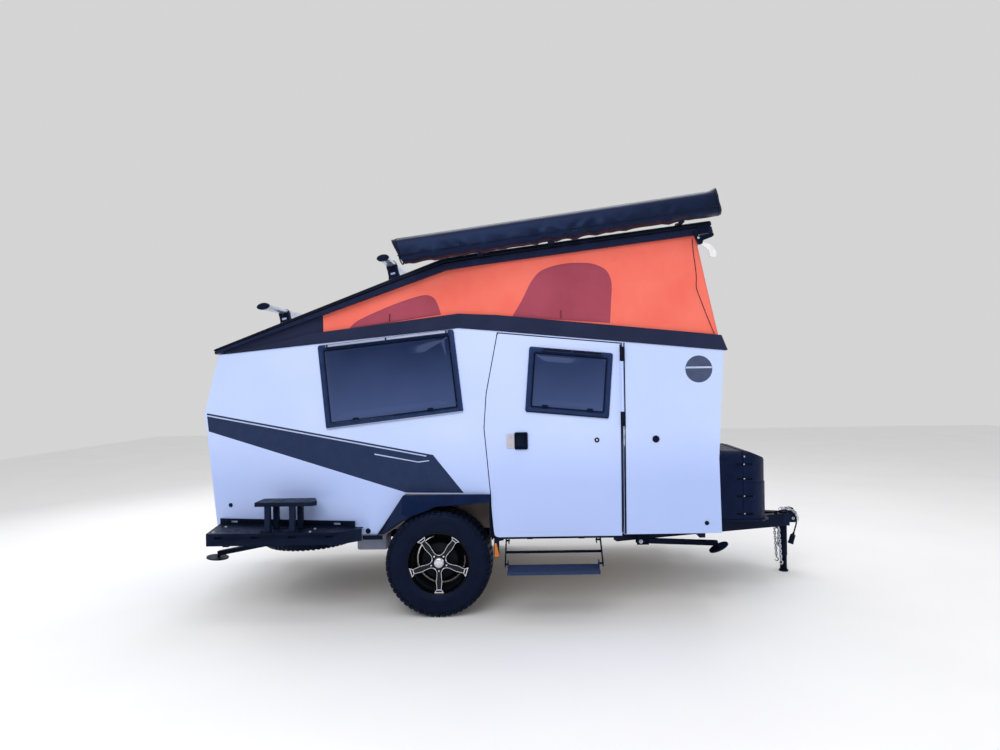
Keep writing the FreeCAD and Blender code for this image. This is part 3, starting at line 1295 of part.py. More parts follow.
def build_crossbars():
    """Two cross bars on feet, closed pose, then raised with the roof."""
    bars = []
    for name, x, foot_y, z in (("rear", -1672, 620, 2030), ("middle", -804, 720, 2160)):
        half = size("bar_half")
        bar = prism("bar_" + name, [(x - 38, -half, z - 6), (x - 20, -half, z + 8), (x + 20, -half, z + 13),
                                    (x + 38, -half, z + 5), (x + 20, -half, z - 11), (x - 20, -half, z - 13)],
                    (0, 2 * half, 0))
        feet = []
        for side in (-1, 1):
            y = side * foot_y
            feet.append(prism("bar_foot_%s_%d" % (name, side), [
                (x - 60, y - 25, roof_top(x - 60) + 0.4), (x + 60, y - 25, roof_top(x + 60) + 0.4),
                (x + 30, y - 25, z - 6), (x - 30, y - 25, z - 9)], (0, 50, 0)))
        bars.append(fuse("crossbar_" + name, [bar] + feet))
    keep("crossbars", fuse("crossbar_pair", bars)).Placement = roof_placement()


def rim_top(x):
    """Height of the top of the edge profile, closed."""
    return roof_line(x, *rim_rise())


def bag_line(x):
    """Middle height of the awning bag, closed."""
    return 2150 + (x + 677) / (1455.0 + 677) * (1972 - 2150)


BAG_LOW = -82


def bag_section(x, grow):
    """Outline of the bag across the trailer at a station."""
    z = bag_line(x)
    y = -(size("half_top") + size("roof_over") + 80)
    shape = [(-62, -62), (-72, 0), (-60, 60), (-10, 82), (54, 70), (66, 10), (50, -60), (-5, BAG_LOW)]
    return [(x, y + dy, z + dz * grow) for dy, dz in shape]


def bag_grow(x):
    """Scale of the bag's height at a station: it is fuller at the rear."""
    return 1.05 - 0.05 * (x + 677) / (1455.0 + 677)


def loft(name, sections):
    """Straight-sided loft through closed outlines."""
    outlines = []
    for number, points in enumerate(sections):
        outline = DOC.addObject("Part::Polygon", "%s_outline%d" % (name, number))
        outline.Nodes = [place(p) for p in points]
        outline.Close = True
        outlines.append(outline)
    item = DOC.addObject("Part::Loft", name)
    item.Sections = outlines
    item.Solid = True
    item.Ruled = True
    return item


def build_awning():
    """Awning bag along the right edge of the roof on three brackets."""
    bag = keep("awning_bag", loft("awning_loft", [bag_section(x, bag_grow(x)) for x in (-677, 1455)]))
    bag.Placement = roof_placement()
    parts = []
    y1 = -(size("half_top") + size("roof_over"))
    for number, x in enumerate((-150, 330, 1200)):
        low = bag_line(x + 20) + BAG_LOW * bag_grow(x + 20) - size("clear")
        seat = rim_top(x - 20) + size("clear")
        parts.append(prism("awning_hook%d" % number, [
            (x - 20, y1 - 96, low - 8), (x - 20, y1 - 2, low - 8), (x - 20, y1 - 2, seat), (x - 20, y1 + 22, seat),
            (x - 20, y1 + 22, seat + 8), (x - 20, y1 - 8, seat + 8), (x - 20, y1 - 8, low), (x - 20, y1 - 96, low)],
            (40, 0, 0)))
    keep("awning_brackets", fuse("awning_bracket_set", parts)).Placement = roof_placement()


def build_roof_latches():
    """Over-centre latches at the front corners: a bar on the edge profile and a lever under it."""
    y = -(size("half_top") + size("roof_over") + size("clear"))
    front = size("front_top_x")
    low = roof_line(front, -40)
    plate = span("latch_plate_roof", front - 108, front + 2, y - 7, y, low, roof_line(front, 70))
    bar = span("latch_bar_roof", front - 112, front + 6, y - 22, y, low, low + 42)
    a, b = Vec(front - 86, y - 20, low + 12), Vec(front - 6, y - 20, low - 112)
    lever = prism("latch_lever_roof", arm_outline(a, b, 12, "y"), (0, 8, 0))
    right = fuse("roof_latch_right", [plate, bar, lever])
    keep("roof_latches", fuse("roof_latch_pair", [right, mirror_y("roof_latch_left", right)]))
    OUT["roof_latches"].Placement = roof_placement()


def tent_half(x):
    """Half width of the fabric at a station: just inside the wall top."""
    return skirt_half(x, -14)


def tent_facets(low, up):
    """Triangles of one fabric side between a lower and an upper line of X, Z points."""
    bottom = [(x, -tent_half(x), z) for x, z in low]
    top = [(x, -tent_half(x), z) for x, z in up]
    faces = []
    for k in range(len(low) - 1):
        faces.append([bottom[k], bottom[k + 1], top[k]])
        if top[k] != top[k + 1]:
            faces.append([bottom[k + 1], top[k + 1], top[k]])
    return faces


def build_tent():
    """Fabric under the raised roof: two sides and a front in one sewn piece."""
    front = size("front_top_x") - 38
    ahead, rear = ceiling_rise()
    seat = (ahead - 2 * size("clear"), rear - 2 * size("clear"))

    def roof_point(x):
        p = raised((x, 0, roof_line(x, *seat)))
        return (p.x, p.z)

    stations = [-2060, -1400, -800, size("peak_x"), size("facet_x"), front]
    low = [(x, roof_line(x, size("clear"))) for x in stations]
    up = [roof_point(x) for x in [-2060, -1400, -800, size("peak_x"), size("facet_x"), front - 30]]
    side = facet_panel("tent_side", tent_facets(low, up), 3)
    other = mirror_y("tent_side_left", side)
    a, b = low[-1], up[-1]
    y = tent_half(front)
    panel = prism("tent_front", [(a[0] - 3, -y, a[1]), (b[0] - 3, -y, b[1]), (b[0], -y, b[1]), (a[0], -y, a[1])],
                  (0, 2 * y, 0))
    keep("tent", fuse("tent_fabric", [side, other, panel]))


def skirt_half(x, grow_by):
    """Half width of the wall top at a station, with a margin."""
    if x >= size("door_top_x"):
        return size("half_top") + grow_by
    return upper_rear(x, roof_line(x, 0)) + grow_by


def build_skirt():
    """Fabric skirt along the wall top, outside the tent: two sides and the front."""
    high = size("skirt_high")
    front = size("front_top_x")
    xs = [-1780, -1450, size("peak_x"), size("door_top_x"), front]
    rises = [40, high - 24, high - 4, high + 6, high]
    low = [(x, -skirt_half(x, 8), roof_line(x, 3 * size("clear"))) for x in xs]
    up = [(x, -skirt_half(x, -3), roof_line(x, rise)) for x, rise in zip(xs, rises)]
    faces = []
    for k in range(len(xs) - 1):
        faces.append([low[k], low[k + 1], up[k]])
        faces.append([low[k + 1], up[k + 1], up[k]])
    side = facet_panel("skirt_side", faces, 8)
    y = size("half_top") + 8
    z0, z1 = roof_line(front, 3 * size("clear")), roof_line(front, high)
    panel = prism("skirt_front", [(front - 6, -y + 1, z0), (front + 8, -y + 1, z0), (front + 2, -y + 1, z1),
                                  (front - 6, -y + 1, z1)], (0, 2 * y - 2, 0))
    keep("tent_skirt", fuse("skirt_fabric", [side, mirror_y("skirt_side_left", side), panel]))


def build_all():
    """Every piece in turn."""
    write_sizes()
    build_walls()
    build_floor()
    build_wells()
    build_windows()
    build_door()
    build_frame()
    build_coupler()
    build_jack()
    build_gas_cover()
    build_chains()
    build_cord()
    build_tank()
    build_lamps()
    carriers = [wheel_parts("right", -1), wheel_parts("left", 1)]
    keep("suspension", fuse("suspension_pair", carriers))
    build_tray()
    build_spare()
    build_step()
    build_roof()
    build_crossbars()
    build_roof_latches()
    build_awning()
    build_tent()
    build_skirt()
    DOC.recompute()


def verify():
    """Stop on any failed object or bad shape."""
    for item in DOC.Objects:
        if any(flag in ("Invalid", "Error") for flag in item.State):
            raise RuntimeError("failed object: %s %s %s" % (item.Name, item.State, item.getStatusString()))
    for label, item in OUT.items():
        if item.Shape.isNull() or not item.Shape.isValid():
            raise RuntimeError("bad shape: " + label)
        if len(item.Shape.Solids) != 1:
            print("note: %s has %d solids" % (label, len(item.Shape.Solids)))


def export():
    """One file a piece."""
    os.makedirs("parts", exist_ok=True)
    for label, item in OUT.items():
        item.Shape.exportStep("parts/%s.step" % label)
    print("pieces: %d" % len(OUT))


build_all()
verify()
export()
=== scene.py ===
import json
import math
import random

import bmesh
import bpy
from bpy.props import FloatProperty, FloatVectorProperty, IntProperty, PointerProperty
from bpy.types import Operator, Panel, PropertyGroup
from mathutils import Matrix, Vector
from mathutils.bvhtree import BVHTree

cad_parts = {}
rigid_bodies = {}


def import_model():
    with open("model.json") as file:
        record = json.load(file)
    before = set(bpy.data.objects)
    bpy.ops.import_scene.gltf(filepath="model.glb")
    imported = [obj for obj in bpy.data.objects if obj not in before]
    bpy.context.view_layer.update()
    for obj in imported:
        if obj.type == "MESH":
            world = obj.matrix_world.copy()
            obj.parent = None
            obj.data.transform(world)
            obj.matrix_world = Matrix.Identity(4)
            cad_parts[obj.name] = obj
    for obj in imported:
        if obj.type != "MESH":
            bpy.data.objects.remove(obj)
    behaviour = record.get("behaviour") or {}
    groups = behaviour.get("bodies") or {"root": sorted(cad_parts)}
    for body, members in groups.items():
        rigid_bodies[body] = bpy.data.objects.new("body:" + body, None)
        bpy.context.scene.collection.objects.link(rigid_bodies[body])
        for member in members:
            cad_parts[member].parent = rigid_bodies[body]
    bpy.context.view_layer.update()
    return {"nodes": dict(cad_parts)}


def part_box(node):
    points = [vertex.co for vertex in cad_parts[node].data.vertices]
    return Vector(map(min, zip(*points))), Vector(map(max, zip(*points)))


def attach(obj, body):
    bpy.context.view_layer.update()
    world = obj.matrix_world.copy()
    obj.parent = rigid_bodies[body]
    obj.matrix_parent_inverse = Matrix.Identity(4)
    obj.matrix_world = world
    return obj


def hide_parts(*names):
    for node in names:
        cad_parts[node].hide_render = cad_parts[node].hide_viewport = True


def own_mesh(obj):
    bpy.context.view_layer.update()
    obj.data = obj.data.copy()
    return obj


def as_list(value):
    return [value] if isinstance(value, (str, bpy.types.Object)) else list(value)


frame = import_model()

bl_info = {
    "name": "Pop-up Camping Trailer",
    "version": (1, 0, 0),
    "blender": (4, 5, 0),
    "location": "View3D > Sidebar > Trailer",
    "description": "Dresses the packed trailer with its panels, fabrics, wheels and fittings",
    "category": "Object",
}

NODES = frame["nodes"]


# Places. Lengths along the body are measured in millimetres from the body's own datum.

def st(x, y, z):
    """A station in millimetres as a point of the frame in metres."""
    return Vector(((x - 2150) / 1000, y / 1000, z / 1000))


TOP_REAR = (-2179, 1824)
PEAK = (-412, 1975)
TOP_FRONT = (1400, 1797)
ROOF_AXIS = (-2187, 1826)
ROOF_OPEN = 12.7


def on_line(a, b, x):
    """Height at a station on the straight line through two stations."""
    return a[1] + (x - a[0]) / (b[0] - a[0]) * (b[1] - a[1])


def wall_top(x):
    """Height of the upper edge of the side walls."""
    return on_line(TOP_REAR, PEAK, x) if x < PEAK[0] else on_line(PEAK, TOP_FRONT, x)


def roof_line(x, ahead, rear):
    """Height of a line on the closed roof that lies ahead and rear over the wall top."""
    if x < PEAK[0]:
        share = (x - TOP_REAR[0]) / (PEAK[0] - TOP_REAR[0])
        return wall_top(x) + rear + share * (ahead - rear)
    return wall_top(x) + ahead


def lift(x, y, z):
    """A station on the closed roof as it stands with the roof up."""
    turn = math.radians(ROOF_OPEN)
    dx, dz = x - ROOF_AXIS[0], z - ROOF_AXIS[1]
    return st(ROOF_AXIS[0] + dx * math.cos(turn) - dz * math.sin(turn), y,
              ROOF_AXIS[1] + dx * math.sin(turn) + dz * math.cos(turn))


def skin(*names):
    """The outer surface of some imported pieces, to lay thin things on."""
    points, faces = [], []
    for name in names:
        start = len(points)
        points += [v.co.copy() for v in NODES[name].data.vertices]
        faces += [[start + i for i in p.vertices] for p in NODES[name].data.polygons]
    return BVHTree.FromPolygons(points, faces)


def against(surface, point, side, proud=0.0):
    """The point moved across the trailer onto a surface, and the way that surface faces."""
    start = Vector((point.x, side * 1.6, point.z))
    hit, normal, _, _ = surface.ray_cast(start, Vector((0, -side, 0)))
    if hit is None:
        raise RuntimeError("nothing to lay a piece on at %s" % point)
    if normal.y * side < 0:
        normal = -normal
    return hit + normal * proud, normal


# Meshes

def slab(bm, outline, depth, slot=0):
    """A flat outline given depth."""
    near = [bm.verts.new(p) for p in outline]
    far = [bm.verts.new(p + depth) for p in outline]
    count = len(near)
    made = [bm.faces.new(near[::-1]), bm.faces.new(far)]
    for i in range(count):
        j = (i + 1) % count
        made.append(bm.faces.new((near[i], near[j], far[j], far[i])))
    for face in made:
        face.material_index = slot
    return made


def axes_of(direction):
    """Two directions square to a third."""
    direction = direction.normalized()
    across = direction.cross(Vector((0, 0, 1)))
    if across.length < 1e-3:
        across = direction.cross(Vector((0, 1, 0)))
    across.normalize()
    return across, direction.cross(across).normalized()


def sweep(bm, path, section, slot=0, closed=False, smooth=False):
    """A section, given as pairs across a path, carried along it."""
    loops = []
    count = len(path)
    for i, point in enumerate(path):
        before = path[i - 1] if i or closed else path[0]
        after = path[(i + 1) % count] if i < count - 1 or closed else path[-1]
        if i == 0 and not closed:
            before = point
        along = (after - before).normalized()
        if i == 0:
            side, up = axes_of(along)
        else:
            side = (side - along * side.dot(along)).normalized()
            up = along.cross(side).normalized()
        loops.append([bm.verts.new(point + side * a + up * b) for a, b in section])
    spans = count if closed else count - 1
    size = len(section)
    for i in range(spans):
        one, two = loops[i], loops[(i + 1) % count]
        for k in range(size):
            m = (k + 1) % size
            face = bm.faces.new((one[k], one[m], two[m], two[k]))
            face.material_index = slot
            face.smooth = smooth
    if not closed:
        for loop in (loops[0][::-1], loops[-1]):
            bm.faces.new(loop).material_index = slot
    return loops


def flat_section(half, thick):
    """A flat strip as a section, by half its width and half its thickness."""
    return [(-half, -thick), (half, -thick), (half, thick), (-half, thick)]


def round_section(radius, count=12):
    """A circle as a section."""
    return [(radius * math.cos(2 * math.pi * k / count), radius * math.sin(2 * math.pi * k / count))
            for k in range(count)]


def rod(bm, a, b, radius, slot=0, count=16):
    """A round bar between two points."""
    return sweep(bm, [a, b], round_section(radius, count), slot, smooth=True)


def lathe(bm, profile, centre, axis, slot=0, count=64, smooth=True, closed=False):
    """A profile of (along, radius) pairs turned round an axis; each pair may carry its own slot."""
    axis = axis.normalized()
    side, up = axes_of(axis)
    rings = []
    for pair in profile:
        along, radius = pair[0], pair[1]
        middle = centre + axis * along
        if radius < 1e-6:
            rings.append([bm.verts.new(middle)] * count)
            continue
        ring = []
        for k in range(count):
            turn = 2 * math.pi * k / count
            ring.append(bm.verts.new(middle + (side * math.cos(turn) + up * math.sin(turn)) * radius))
        rings.append(ring)
    pairs = list(zip(rings, rings[1:]))
    if closed:
        pairs.append((rings[-1], rings[0]))
    for number, (one, two) in enumerate(pairs):
        own = profile[number][2] if len(profile[number]) > 2 else slot
        for k in range(count):
            m = (k + 1) % count
            corners = []
            for v in (one[k], one[m], two[m], two[k]):
                if v not in corners:
                    corners.append(v)
            if len(corners) > 2:
                face = bm.faces.new(corners)
                face.material_index = own
                face.smooth = smooth
    return rings


def in_metres(profile):
    """A profile given in millimetres, each pair with its slot if it has one, in metres."""
    return [(pair[0] / 1000, pair[1] / 1000) + tuple(pair[2:]) for pair in profile]


def piece(name, bm, body, finishes, bevel=0.0, replaces=()):
    """A built mesh as a named piece, in finishes given by name, that rides on a body."""
    bmesh.ops.recalc_face_normals(bm, faces=bm.faces)
    mesh = bpy.data.meshes.new(name)
    bm.to_mesh(mesh)
    bm.free()
    for finish_name in finishes:
        mesh.materials.append(FINISHES[finish_name])
    obj = bpy.data.objects.new(name, mesh)
    bpy.context.scene.collection.objects.link(obj)
    if bevel:
        round_edges(obj, bevel)
    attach(obj, body)
    if replaces:
        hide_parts(*replaces)
    return obj


def round_edges(obj, width, segments=2):
    """Rounds the hard edges of a piece, as bending, pressing or wear leaves them."""
    bevel = obj.modifiers.new("Rounded edges", "BEVEL")
    bevel.width = width
    bevel.segments = segments
    bevel.limit_method = "ANGLE"
    bevel.angle_limit = math.radians(30)
    bevel.harden_normals = True
    return bevel


def spline(p, t):
    """A point of the smooth line between the middle two of four points."""
    return 0.5 * (2 * p[1] + (p[2] - p[0]) * t + (2 * p[0] - 5 * p[1] + 4 * p[2] - p[3]) * t * t
                  + (3 * p[1] - p[0] - 3 * p[2] + p[3]) * t ** 3)


def rounded(corners, radius, steps=5):
    """A flat outline with its corners rounded off."""
    outline = []
    count = len(corners)
    for i, corner in enumerate(corners):
        to_last = (corners[i - 1] - corner)
        to_next = (corners[(i + 1) % count] - corner)
        angle = to_last.angle(to_next)
        if angle > math.radians(170):
            outline.append(corner)
            continue
        cut = min(radius / math.tan(angle / 2), 0.45 * to_last.length, 0.45 * to_next.length)
        start = corner + to_last.normalized() * cut
        end = corner + to_next.normalized() * cut
        for k in range(steps + 1):
            t = k / steps
            outline.append(start * (1 - t) ** 2 + corner * 2 * t * (1 - t) + end * t * t)
    return outline


# Finishes

def tone(text):
    """An sRGB hex value, or a colour setting that is linear already, as linear colour."""
    if not isinstance(text, str):
        return tuple(text) + (1.0,)
    values = [int(text[i:i + 2], 16) / 255 for i in (1, 3, 5)]
    return tuple(v / 12.92 if v <= 0.04045 else ((v + 0.055) / 1.055) ** 2.4 for v in values) + (1.0,)


def add(tree, kind, settings=None, links=None):
    """A node with its settings and its links."""
    node = tree.nodes.new(kind)
    for key, value in (settings or {}).items():
        if isinstance(key, str) and hasattr(node, key):
            setattr(node, key, value)
        else:
            node.inputs[key].default_value = value
    for key, socket in (links or {}).items():
        tree.links.new(socket, node.inputs[key])
    return node


def finish(name, **values):
    """A new material, its tree, its shader and the coordinates its patterns use."""
    material = bpy.data.materials.new(name)
    material.use_nodes = True
    tree = material.node_tree
    shader = tree.nodes["Principled BSDF"]
    for key, value in values.items():
        shader.inputs[key.replace("_", " ")].default_value = value
    place = add(tree, "ShaderNodeTexCoord")
    return material, tree, shader, place.outputs["Object"]


def blotch(tree, shader, place, base, other, size_mm, share=0.5):
    """Slow change between two tones, as dust, handling and age leave it."""
    cloud = add(tree, "ShaderNodeTexNoise", {"Scale": 1000 / size_mm, "Detail": 4.0}, {"Vector": place})
    spread = add(tree, "ShaderNodeMapRange", {"From Min": 0.35, "From Max": 0.7, "To Max": share},
                 {"Value": cloud.outputs["Fac"]})
    mix = add(tree, "ShaderNodeMix", {"data_type": "RGBA", 6: tone(base), 7: tone(other)},
              {0: spread.outputs["Result"]})
    tree.links.new(mix.outputs[2], shader.inputs["Base Color"])
    return mix.outputs[2]


def uneven(tree, shader, place, low, high, size_mm):
    """Gloss that changes over the surface."""
    cloud = add(tree, "ShaderNodeTexNoise", {"Scale": 1000 / size_mm, "Detail": 3.0}, {"Vector": place})
    spread = add(tree, "ShaderNodeMapRange",
                 {"From Min": 0.3, "From Max": 0.7, "To Min": low, "To Max": high},
                 {"Value": cloud.outputs["Fac"]})
    tree.links.new(spread.outputs["Result"], shader.inputs["Roughness"])


def relief(tree, shader, height, depth_mm, strength, under=None):
    """Raised and sunk places of a real depth, laid over those already there."""
    links = {"Height": height}
    if under is not None:
        links["Normal"] = under
    bump = add(tree, "ShaderNodeBump", {"Distance": depth_mm / 1000, "Strength": strength}, links)
    tree.links.new(bump.outputs["Normal"], shader.inputs["Normal"])
    return bump.outputs["Normal"]


def grain(tree, shader, place, size_mm, depth_mm, strength, detail=2.0):
    """An even grain of a real size and depth."""
    cloud = add(tree, "ShaderNodeTexNoise", {"Scale": 1000 / size_mm, "Detail": detail}, {"Vector": place})
    return relief(tree, shader, cloud.outputs["Fac"], depth_mm, strength)


def pebbles(tree, shader, place, size_mm, depth_mm, strength):
    """Cells of a real size that stand up, as leather grain, prisms or grit do."""
    cells = add(tree, "ShaderNodeTexVoronoi", {"Scale": 1000 / size_mm}, {"Vector": place})
    relief(tree, shader, cells.outputs["Distance"], depth_mm, strength)


def worn(tree, shader, colour, bare, amount):
    """Lighter tone on the edges, where rubbing has worn the surface."""
    shape = add(tree, "ShaderNodeNewGeometry")
    edge = add(tree, "ShaderNodeMapRange", {"From Min": 0.52, "From Max": 0.62, "To Max": amount},
               {"Value": shape.outputs["Pointiness"]})
    mix = add(tree, "ShaderNodeMix", {"data_type": "RGBA", 7: tone(bare)},
              {0: edge.outputs["Result"], 6: colour})
    tree.links.new(mix.outputs[2], shader.inputs["Base Color"])


# painted reflection: the cool tint of an open sky, given to the glint of the finishes
PAINTED_SKY_GLINT = "#86A4F0"


def gloss_composite(name, base, other):
    """Gloss composite sheet, pressed and gel coated: pale, with a soft sheen, a faint ripple and painted
    shade low down.
    """
    made, tree, shader, place = finish(name, Roughness=0.32, IOR=1.49, Coat_Weight=0.35, Coat_Roughness=0.12)
    colour = blotch(tree, shader, place, base, other, 700, 0.6)
    # painted shade: the sheet darkens from the belt, 1.2 m up, down to 0.9 m and below, where the lower walls
    # lean in and face the floor
    height = add(tree, "ShaderNodeSeparateXYZ", {}, {"Vector": place})
    film = add(tree, "ShaderNodeMapRange", {"From Min": 1.25, "From Max": 0.9, "To Max": 0.5},
               {"Value": height.outputs["Z"]})
    dull = add(tree, "ShaderNodeMix", {"data_type": "RGBA", 7: tone("#93ABE4")},
               {0: film.outputs["Result"], 6: colour})
    tree.links.new(dull.outputs[2], shader.inputs["Base Color"])
    # the ripple of the pressed sheet is about 60 mm long and a tenth of a millimetre deep
    grain(tree, shader, place, 60, 0.35, 0.35)
    return made


def powder_coat(name, base, other, gloss=0.42):
    """Powder coated steel: dark, even, with a fine pebble and dust in the hollows."""
    # the open sky gives a dark coat its cool, weak glint
    made, tree, shader, place = finish(name, Roughness=gloss, IOR=1.5, Specular_IOR_Level=0.14,
                                       Specular_Tint=tone(PAINTED_SKY_GLINT))
    colour = blotch(tree, shader, place, base, other, 90, 0.7)
    worn(tree, shader, colour, "#2C3856", 0.3)
    uneven(tree, shader, place, gloss - 0.08, gloss + 0.15, 40)
    # pebble drawn at 3 mm, since its real millimetre is finer than a pixel
    grain(tree, shader, place, 3, 0.12, 0.5)
    return made


def anodised(name, base, other, rough=0.34):
    """Anodised aluminium extrusion: metal with long drawn streaks and a satin sheen."""
    made, tree, shader, place = finish(name, Metallic=0.85, Roughness=rough)
    blotch(tree, shader, place, base, other, 120, 0.5)
    # drawing lines run along the bar; 2 mm apart so that they show
    long = add(tree, "ShaderNodeMapping", {"Scale": (0.03, 1.0, 1.0)}, {"Vector": place})
    grain(tree, shader, long.outputs["Vector"], 2, 0.05, 0.4)
    uneven(tree, shader, long.outputs["Vector"], rough - 0.06, rough + 0.1, 12)
    return made


def moulded(name, base, other, rough=0.5, grain_mm=2.0, depth_mm=0.12, glint=0.22):
    """Moulded plastic or rubber: even colour, fine leather grain, dull sheen."""
    made, tree, shader, place = finish(name, Roughness=rough, IOR=1.5, Specular_IOR_Level=glint,
                                       Specular_Tint=tone(PAINTED_SKY_GLINT))
    blotch(tree, shader, place, base, other, 60, 0.6)
    pebbles(tree, shader, place, grain_mm, depth_mm, 0.6)
    uneven(tree, shader, place, rough - 0.08, rough + 0.12, 25)
    return made


def smoked_acrylic(name):
    """Smoked acrylic sheet, blown to a shallow dome: wet gloss over a tint with painted shade, darkest along
    the top.
    """
    made, tree, shader, place = finish(name, Roughness=0.07, IOR=1.49, Specular_IOR_Level=0.35,
                                       Specular_Tint=tone(PAINTED_SKY_GLINT), Coat_Weight=0.2, Coat_Roughness=0.03)
    height = add(tree, "ShaderNodeSeparateXYZ", {}, {"Vector": place})
    cloud = add(tree, "ShaderNodeTexNoise", {"Scale": 2.2, "Detail": 2.0}, {"Vector": place})
    level = add(tree, "ShaderNodeMath", {"operation": "MULTIPLY_ADD", 1: 0.22},
                {0: cloud.outputs["Fac"], 2: height.outputs["Z"]})
    # the sheet stands between 1.3 and 1.95 m up; painted shade: its tint is darkest along the top and paler
    # low down
    share = add(tree, "ShaderNodeMapRange", {"From Min": 1.48, "From Max": 1.98},
                {"Value": level.outputs["Value"]})
    mix = add(tree, "ShaderNodeMix", {"data_type": "RGBA", 6: tone("#3E4D76"), 7: tone("#0F1E40")},
              {0: share.outputs["Result"]})
    tree.links.new(mix.outputs[2], shader.inputs["Base Color"])
    uneven(tree, shader, place, 0.05, 0.12, 90)
    # slow waves of the blown sheet, 180 mm long
    grain(tree, shader, place, 180, 1.5, 0.5, 0.0)
    return made


def woven(name, base, other, thread_mm, depth_mm, rough, sheen, fold_mm=260, fold_deep=3.0, glint=0.25):
    """Coated woven cloth: crossed threads, slow folds and a soft sheen at the edges."""
    made, tree, shader, place = finish(name, Roughness=rough, IOR=1.45, Specular_IOR_Level=glint,
                                       Specular_Tint=tone(PAINTED_SKY_GLINT), Sheen_Weight=sheen, Sheen_Roughness=0.4)
    colour = blotch(tree, shader, place, base, other, 240, 0.7)
    threads = []
    for direction in ("X", "Z"):
        line = add(tree, "ShaderNodeTexWave", {"wave_type": "BANDS", "bands_direction": direction,
                                               "Scale": 1000 / thread_mm / 6.283, "Distortion": 0.4,
                                               "Detail": 1.0}, {"Vector": place})
        threads.append(line.outputs["Fac"])
    cross = add(tree, "ShaderNodeMath", {"operation": "MULTIPLY"}, {0: threads[0], 1: threads[1]})
    shade = add(tree, "ShaderNodeMapRange", {"To Min": 0.82, "To Max": 1.0},
                {"Value": cross.outputs["Value"]})
    mix = add(tree, "ShaderNodeMix", {"data_type": "RGBA", "blend_type": "MULTIPLY", 0: 1.0},
              {6: colour, 7: shade.outputs["Result"]})
    tree.links.new(mix.outputs[2], shader.inputs["Base Color"])
    folds = grain(tree, shader, place, fold_mm, fold_deep, 0.6, 3.0)
    relief(tree, shader, cross.outputs["Value"], depth_mm, 0.5, folds)
    return made


def alloy(name, base, other, rough, metal=1.0, glint=0.5):
    """Cast or machined aluminium: turning marks and a little brake dust."""
    made, tree, shader, place = finish(name, Metallic=metal, Roughness=rough, Specular_IOR_Level=glint)
    blotch(tree, shader, place, base, other, 35, 0.6)
    grain(tree, shader, place, 4, 0.08, 0.4)
    uneven(tree, shader, place, rough - 0.06, rough + 0.12, 15)
    return made


def lens(name, base, other):
    """Moulded acrylic lens: clear colour over a grid of small prisms."""
    made, tree, shader, place = finish(name, Roughness=0.12, IOR=1.49, Transmission_Weight=0.25)
    blotch(tree, shader, place, base, other, 12, 0.5)
    pebbles(tree, shader, place, 5, 0.8, 0.7)
    return made


def plywood(name, base, other):
    """Coated plywood: long grain under a dull sealer."""
    made, tree, shader, place = finish(name, Roughness=0.7, IOR=1.5)
    long = add(tree, "ShaderNodeMapping", {"Scale": (0.08, 1.0, 1.0)}, {"Vector": place})
    blotch(tree, shader, long.outputs["Vector"], base, other, 14, 0.8)
    grain(tree, shader, long.outputs["Vector"], 6, 0.2, 0.5)
    return made


def lined_arch(name):
    """Wheel arch pressing: dark coat on the outer face and its edges, pale liner sheet inside the well, and
    painted shade down the well's rear slope.
    """
    made, tree, shader, place = finish(name, Roughness=0.5, IOR=1.5, Specular_IOR_Level=0.25,
                                       Specular_Tint=tone(PAINTED_SKY_GLINT))
    axes = add(tree, "ShaderNodeSeparateXYZ", {}, {"Vector": place})
    wide = add(tree, "ShaderNodeMath", {"operation": "ABSOLUTE"}, {0: axes.outputs["Y"]})
    # the liner ends 20 mm inside the outer edge of the pressing, which stands 0.985 m out
    # and follows its rear slope, which leans in by 0.6 m for each metre along the body;
    # the near-black outside the liner is the dark coat, and down the rear slope it is painted shade on the
    # well's inner side
    slope = add(tree, "ShaderNodeMath", {"operation": "MULTIPLY_ADD", 1: 0.6, 2: 0.84 + 3.15 * 0.6},
                {0: axes.outputs["X"]})
    lip = add(tree, "ShaderNodeMath", {"operation": "MINIMUM", 1: 0.962}, {0: slope.outputs["Value"]})
    outside = add(tree, "ShaderNodeMath", {"operation": "GREATER_THAN"},
                  {0: wide.outputs["Value"], 1: lip.outputs["Value"]})
    cloud = add(tree, "ShaderNodeTexNoise", {"Scale": 9.0, "Detail": 4.0}, {"Vector": place})
    liner = add(tree, "ShaderNodeMix", {"data_type": "RGBA", 6: tone("#8E8279"), 7: tone("#6E645F")},
                {0: cloud.outputs["Fac"]})
    mix = add(tree, "ShaderNodeMix", {"data_type": "RGBA", 7: tone("#0C1326")},
              {0: outside.outputs["Value"], 6: liner.outputs[2]})
    tree.links.new(mix.outputs[2], shader.inputs["Base Color"])
    grain(tree, shader, place, 5, 0.3, 0.4)
    return made


def gritted(name, base, other):
    """Step tread with bonded grit: rough sparkle of stone grains in dull paint."""
    made, tree, shader, place = finish(name, Roughness=0.85, IOR=1.5, Specular_IOR_Level=0.25)
    blotch(tree, shader, place, base, other, 5, 0.9)
    pebbles(tree, shader, place, 4, 0.9, 0.8)
    return made


FINISHES = {}


